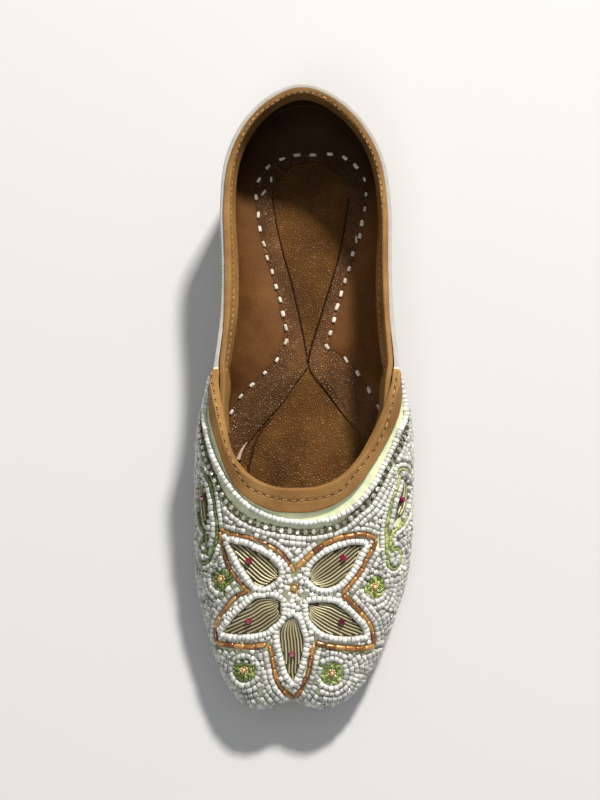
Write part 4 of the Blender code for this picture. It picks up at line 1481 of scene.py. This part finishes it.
def sew_odd(spot, reach, across, long, tint):
    """One odd bead, which lies as its nearest neighbour does. Sizes are shares of its reach."""
    way = sewn.way_near(spot)
    sew_white(spot, way, reach * across, reach * long, tint)
    sewn.take(spot, reach, way)


def tries(*lots):
    """The reach of each try. Every lot is a number of tries and their reach, largest first."""
    return [reach for count, reach in lots for _ in range(count)]


flower_line = evenly(flower_outline, 1.0)
petal_outlines = [evenly(line, 1.0) for line in petal_lines.values()]
BARE_SILK = ((-8.2, -84.6, 2.6), (0.6, -84.4, 2.2), (-4.0, -75.2, 1.8))  # x, y and reach
before = len(white_seats)
for reach in tries((5000, 1.05), (4000, 0.8), (4000, 0.62)):
    x, y = random.uniform(-34, 28), random.uniform(-120, -58)
    if any(math.hypot(x - a, y - b) < r for a, b, r in BARE_SILK):
        continue
    spot = dropped((x, y))
    if (sewn.free(spot, reach, 0.84) and inside(flower_line, x, y)
            and not any(inside(line, x, y) for line in petal_outlines)):
        sew_odd(spot, reach, 2.1, 1.8, 0.75)
print("odd beads in the flower:", len(white_seats) - before)

# %% [markdown]
# ## Filling the ground row by row
# The rest of the silk is covered with white beads. A beader works outwards: the first row hugs
# an outline, the next hugs that row, and so on until rows from two outlines meet. Here each
# front of growth is a line that is moved by one row over the silk, loses the places that would
# touch sewn beads, and breaks into shorter runs.

# %% Grow the field
FIELD_ACROSS, FIELD_LENGTHS, ROW_PITCH, MOST_ROWS = 2.25, (1.6, 2.4), 2.12, 34


def free_runs(line):
    """Unbroken stretches of a moved line where a field bead has room."""
    runs, run = [], []
    for spot in line:
        if spot is not None and sewn.free(spot, FIELD_ACROSS / 2, 0.9):
            if run and (spot - run[-1]).length > 3.2:
                runs.append(run)
                run = []
            run.append(spot)
        elif run:
            runs.append(run)
            run = []
    if run:
        runs.append(run)
    return [evenly(r, 0.5) for r in runs if len(r) > 2]


def grow_once(front, distance, side):
    """Moves each run of a front, sews its beads and returns the next front."""
    following = []
    for line, closed in front:
        for run in free_runs(shifted(line, distance * side, closed)):
            bead_row(run, FIELD_ACROSS, FIELD_LENGTHS, 0.5, slack=0.88)
            following.append((run, False))
    return following


fronts = [(chain_line, False, 2.4, -1),
          (flower_outline, True, 2.1, -1 if turns_left(flower_outline) else 1),
          (paisley_lines[0], False, 1.9, 1), (paisley_lines[2], False, 1.9, -1),
          (paisley_lines[1], False, 1.9, -1), (paisley_lines[3], False, 1.9, 1)]
for centre in GREEN_FLOWERS:
    ring = ring_path(*on_vamp(dropped(centre)), 4.3, 44)
    fronts.append((ring, True, 1.4, -1 if turns_left(ring) else 1))
first_of_field = len(white_seats)
growing = [[(line, closed)] for line, closed, _, _ in fronts]
for passes in range(MOST_ROWS):
    before = len(white_seats)
    for k, (_, _, first, side) in enumerate(fronts):
        growing[k] = grow_once(growing[k], ROW_PITCH if passes else first, side)
    if len(white_seats) == before and passes > 3:
        break
print("white beads:", len(white_seats), "after", passes, "passes")

# %% Odd beads in the gaps of the field
SILK_BOTTOM = 6.9
for attempt, reach in enumerate(tries((11000, 1.0), (6000, 0.8), (7000, 0.64))):
    start = Vector(white_seats[random.randrange(first_of_field, len(white_seats))][0])
    step = Vector([random.gauss(0, 1) for _ in range(3)]).normalized() * 2.6
    if attempt % 3 == 0:
        start = Vector((random.choice((-42, 42)), random.uniform(-85, 0), random.uniform(7, 24)))
    spot = on_vamp(start + step)[0]
    if spot.y < SEAM_Y - 0.9 and spot.z > SILK_BOTTOM and sewn.free(spot, reach, 0.86):
        sew_odd(spot, reach, 2.2, 1.9, 0.45)
print("white beads in all:", len(white_seats))

# %% The white beads as two pieces
half = len(white_seats) // 2
for name, share in (("white_beads_first", slice(half)), ("white_beads_second", slice(half, None))):
    copies_piece(name, SEED, white_seats[share], WHITE_GLASS, white_tints[share])

# %% [markdown]
# ## Floor
# A wide pale floor at the height that the sole stands on.

# %% Floor
floor_mesh = bmesh.new()
bmesh.ops.create_grid(floor_mesh, x_segments=1, y_segments=1, size=3.0)
floor_data = bpy.data.meshes.new("floor")
floor_mesh.to_mesh(floor_data)
floor_mesh.free()
floor_data.materials.append(new_material("pale_floor", 0.85, Base_Color=(0.5, 0.495, 0.485, 1))[0])
floor = put("floor", floor_data)
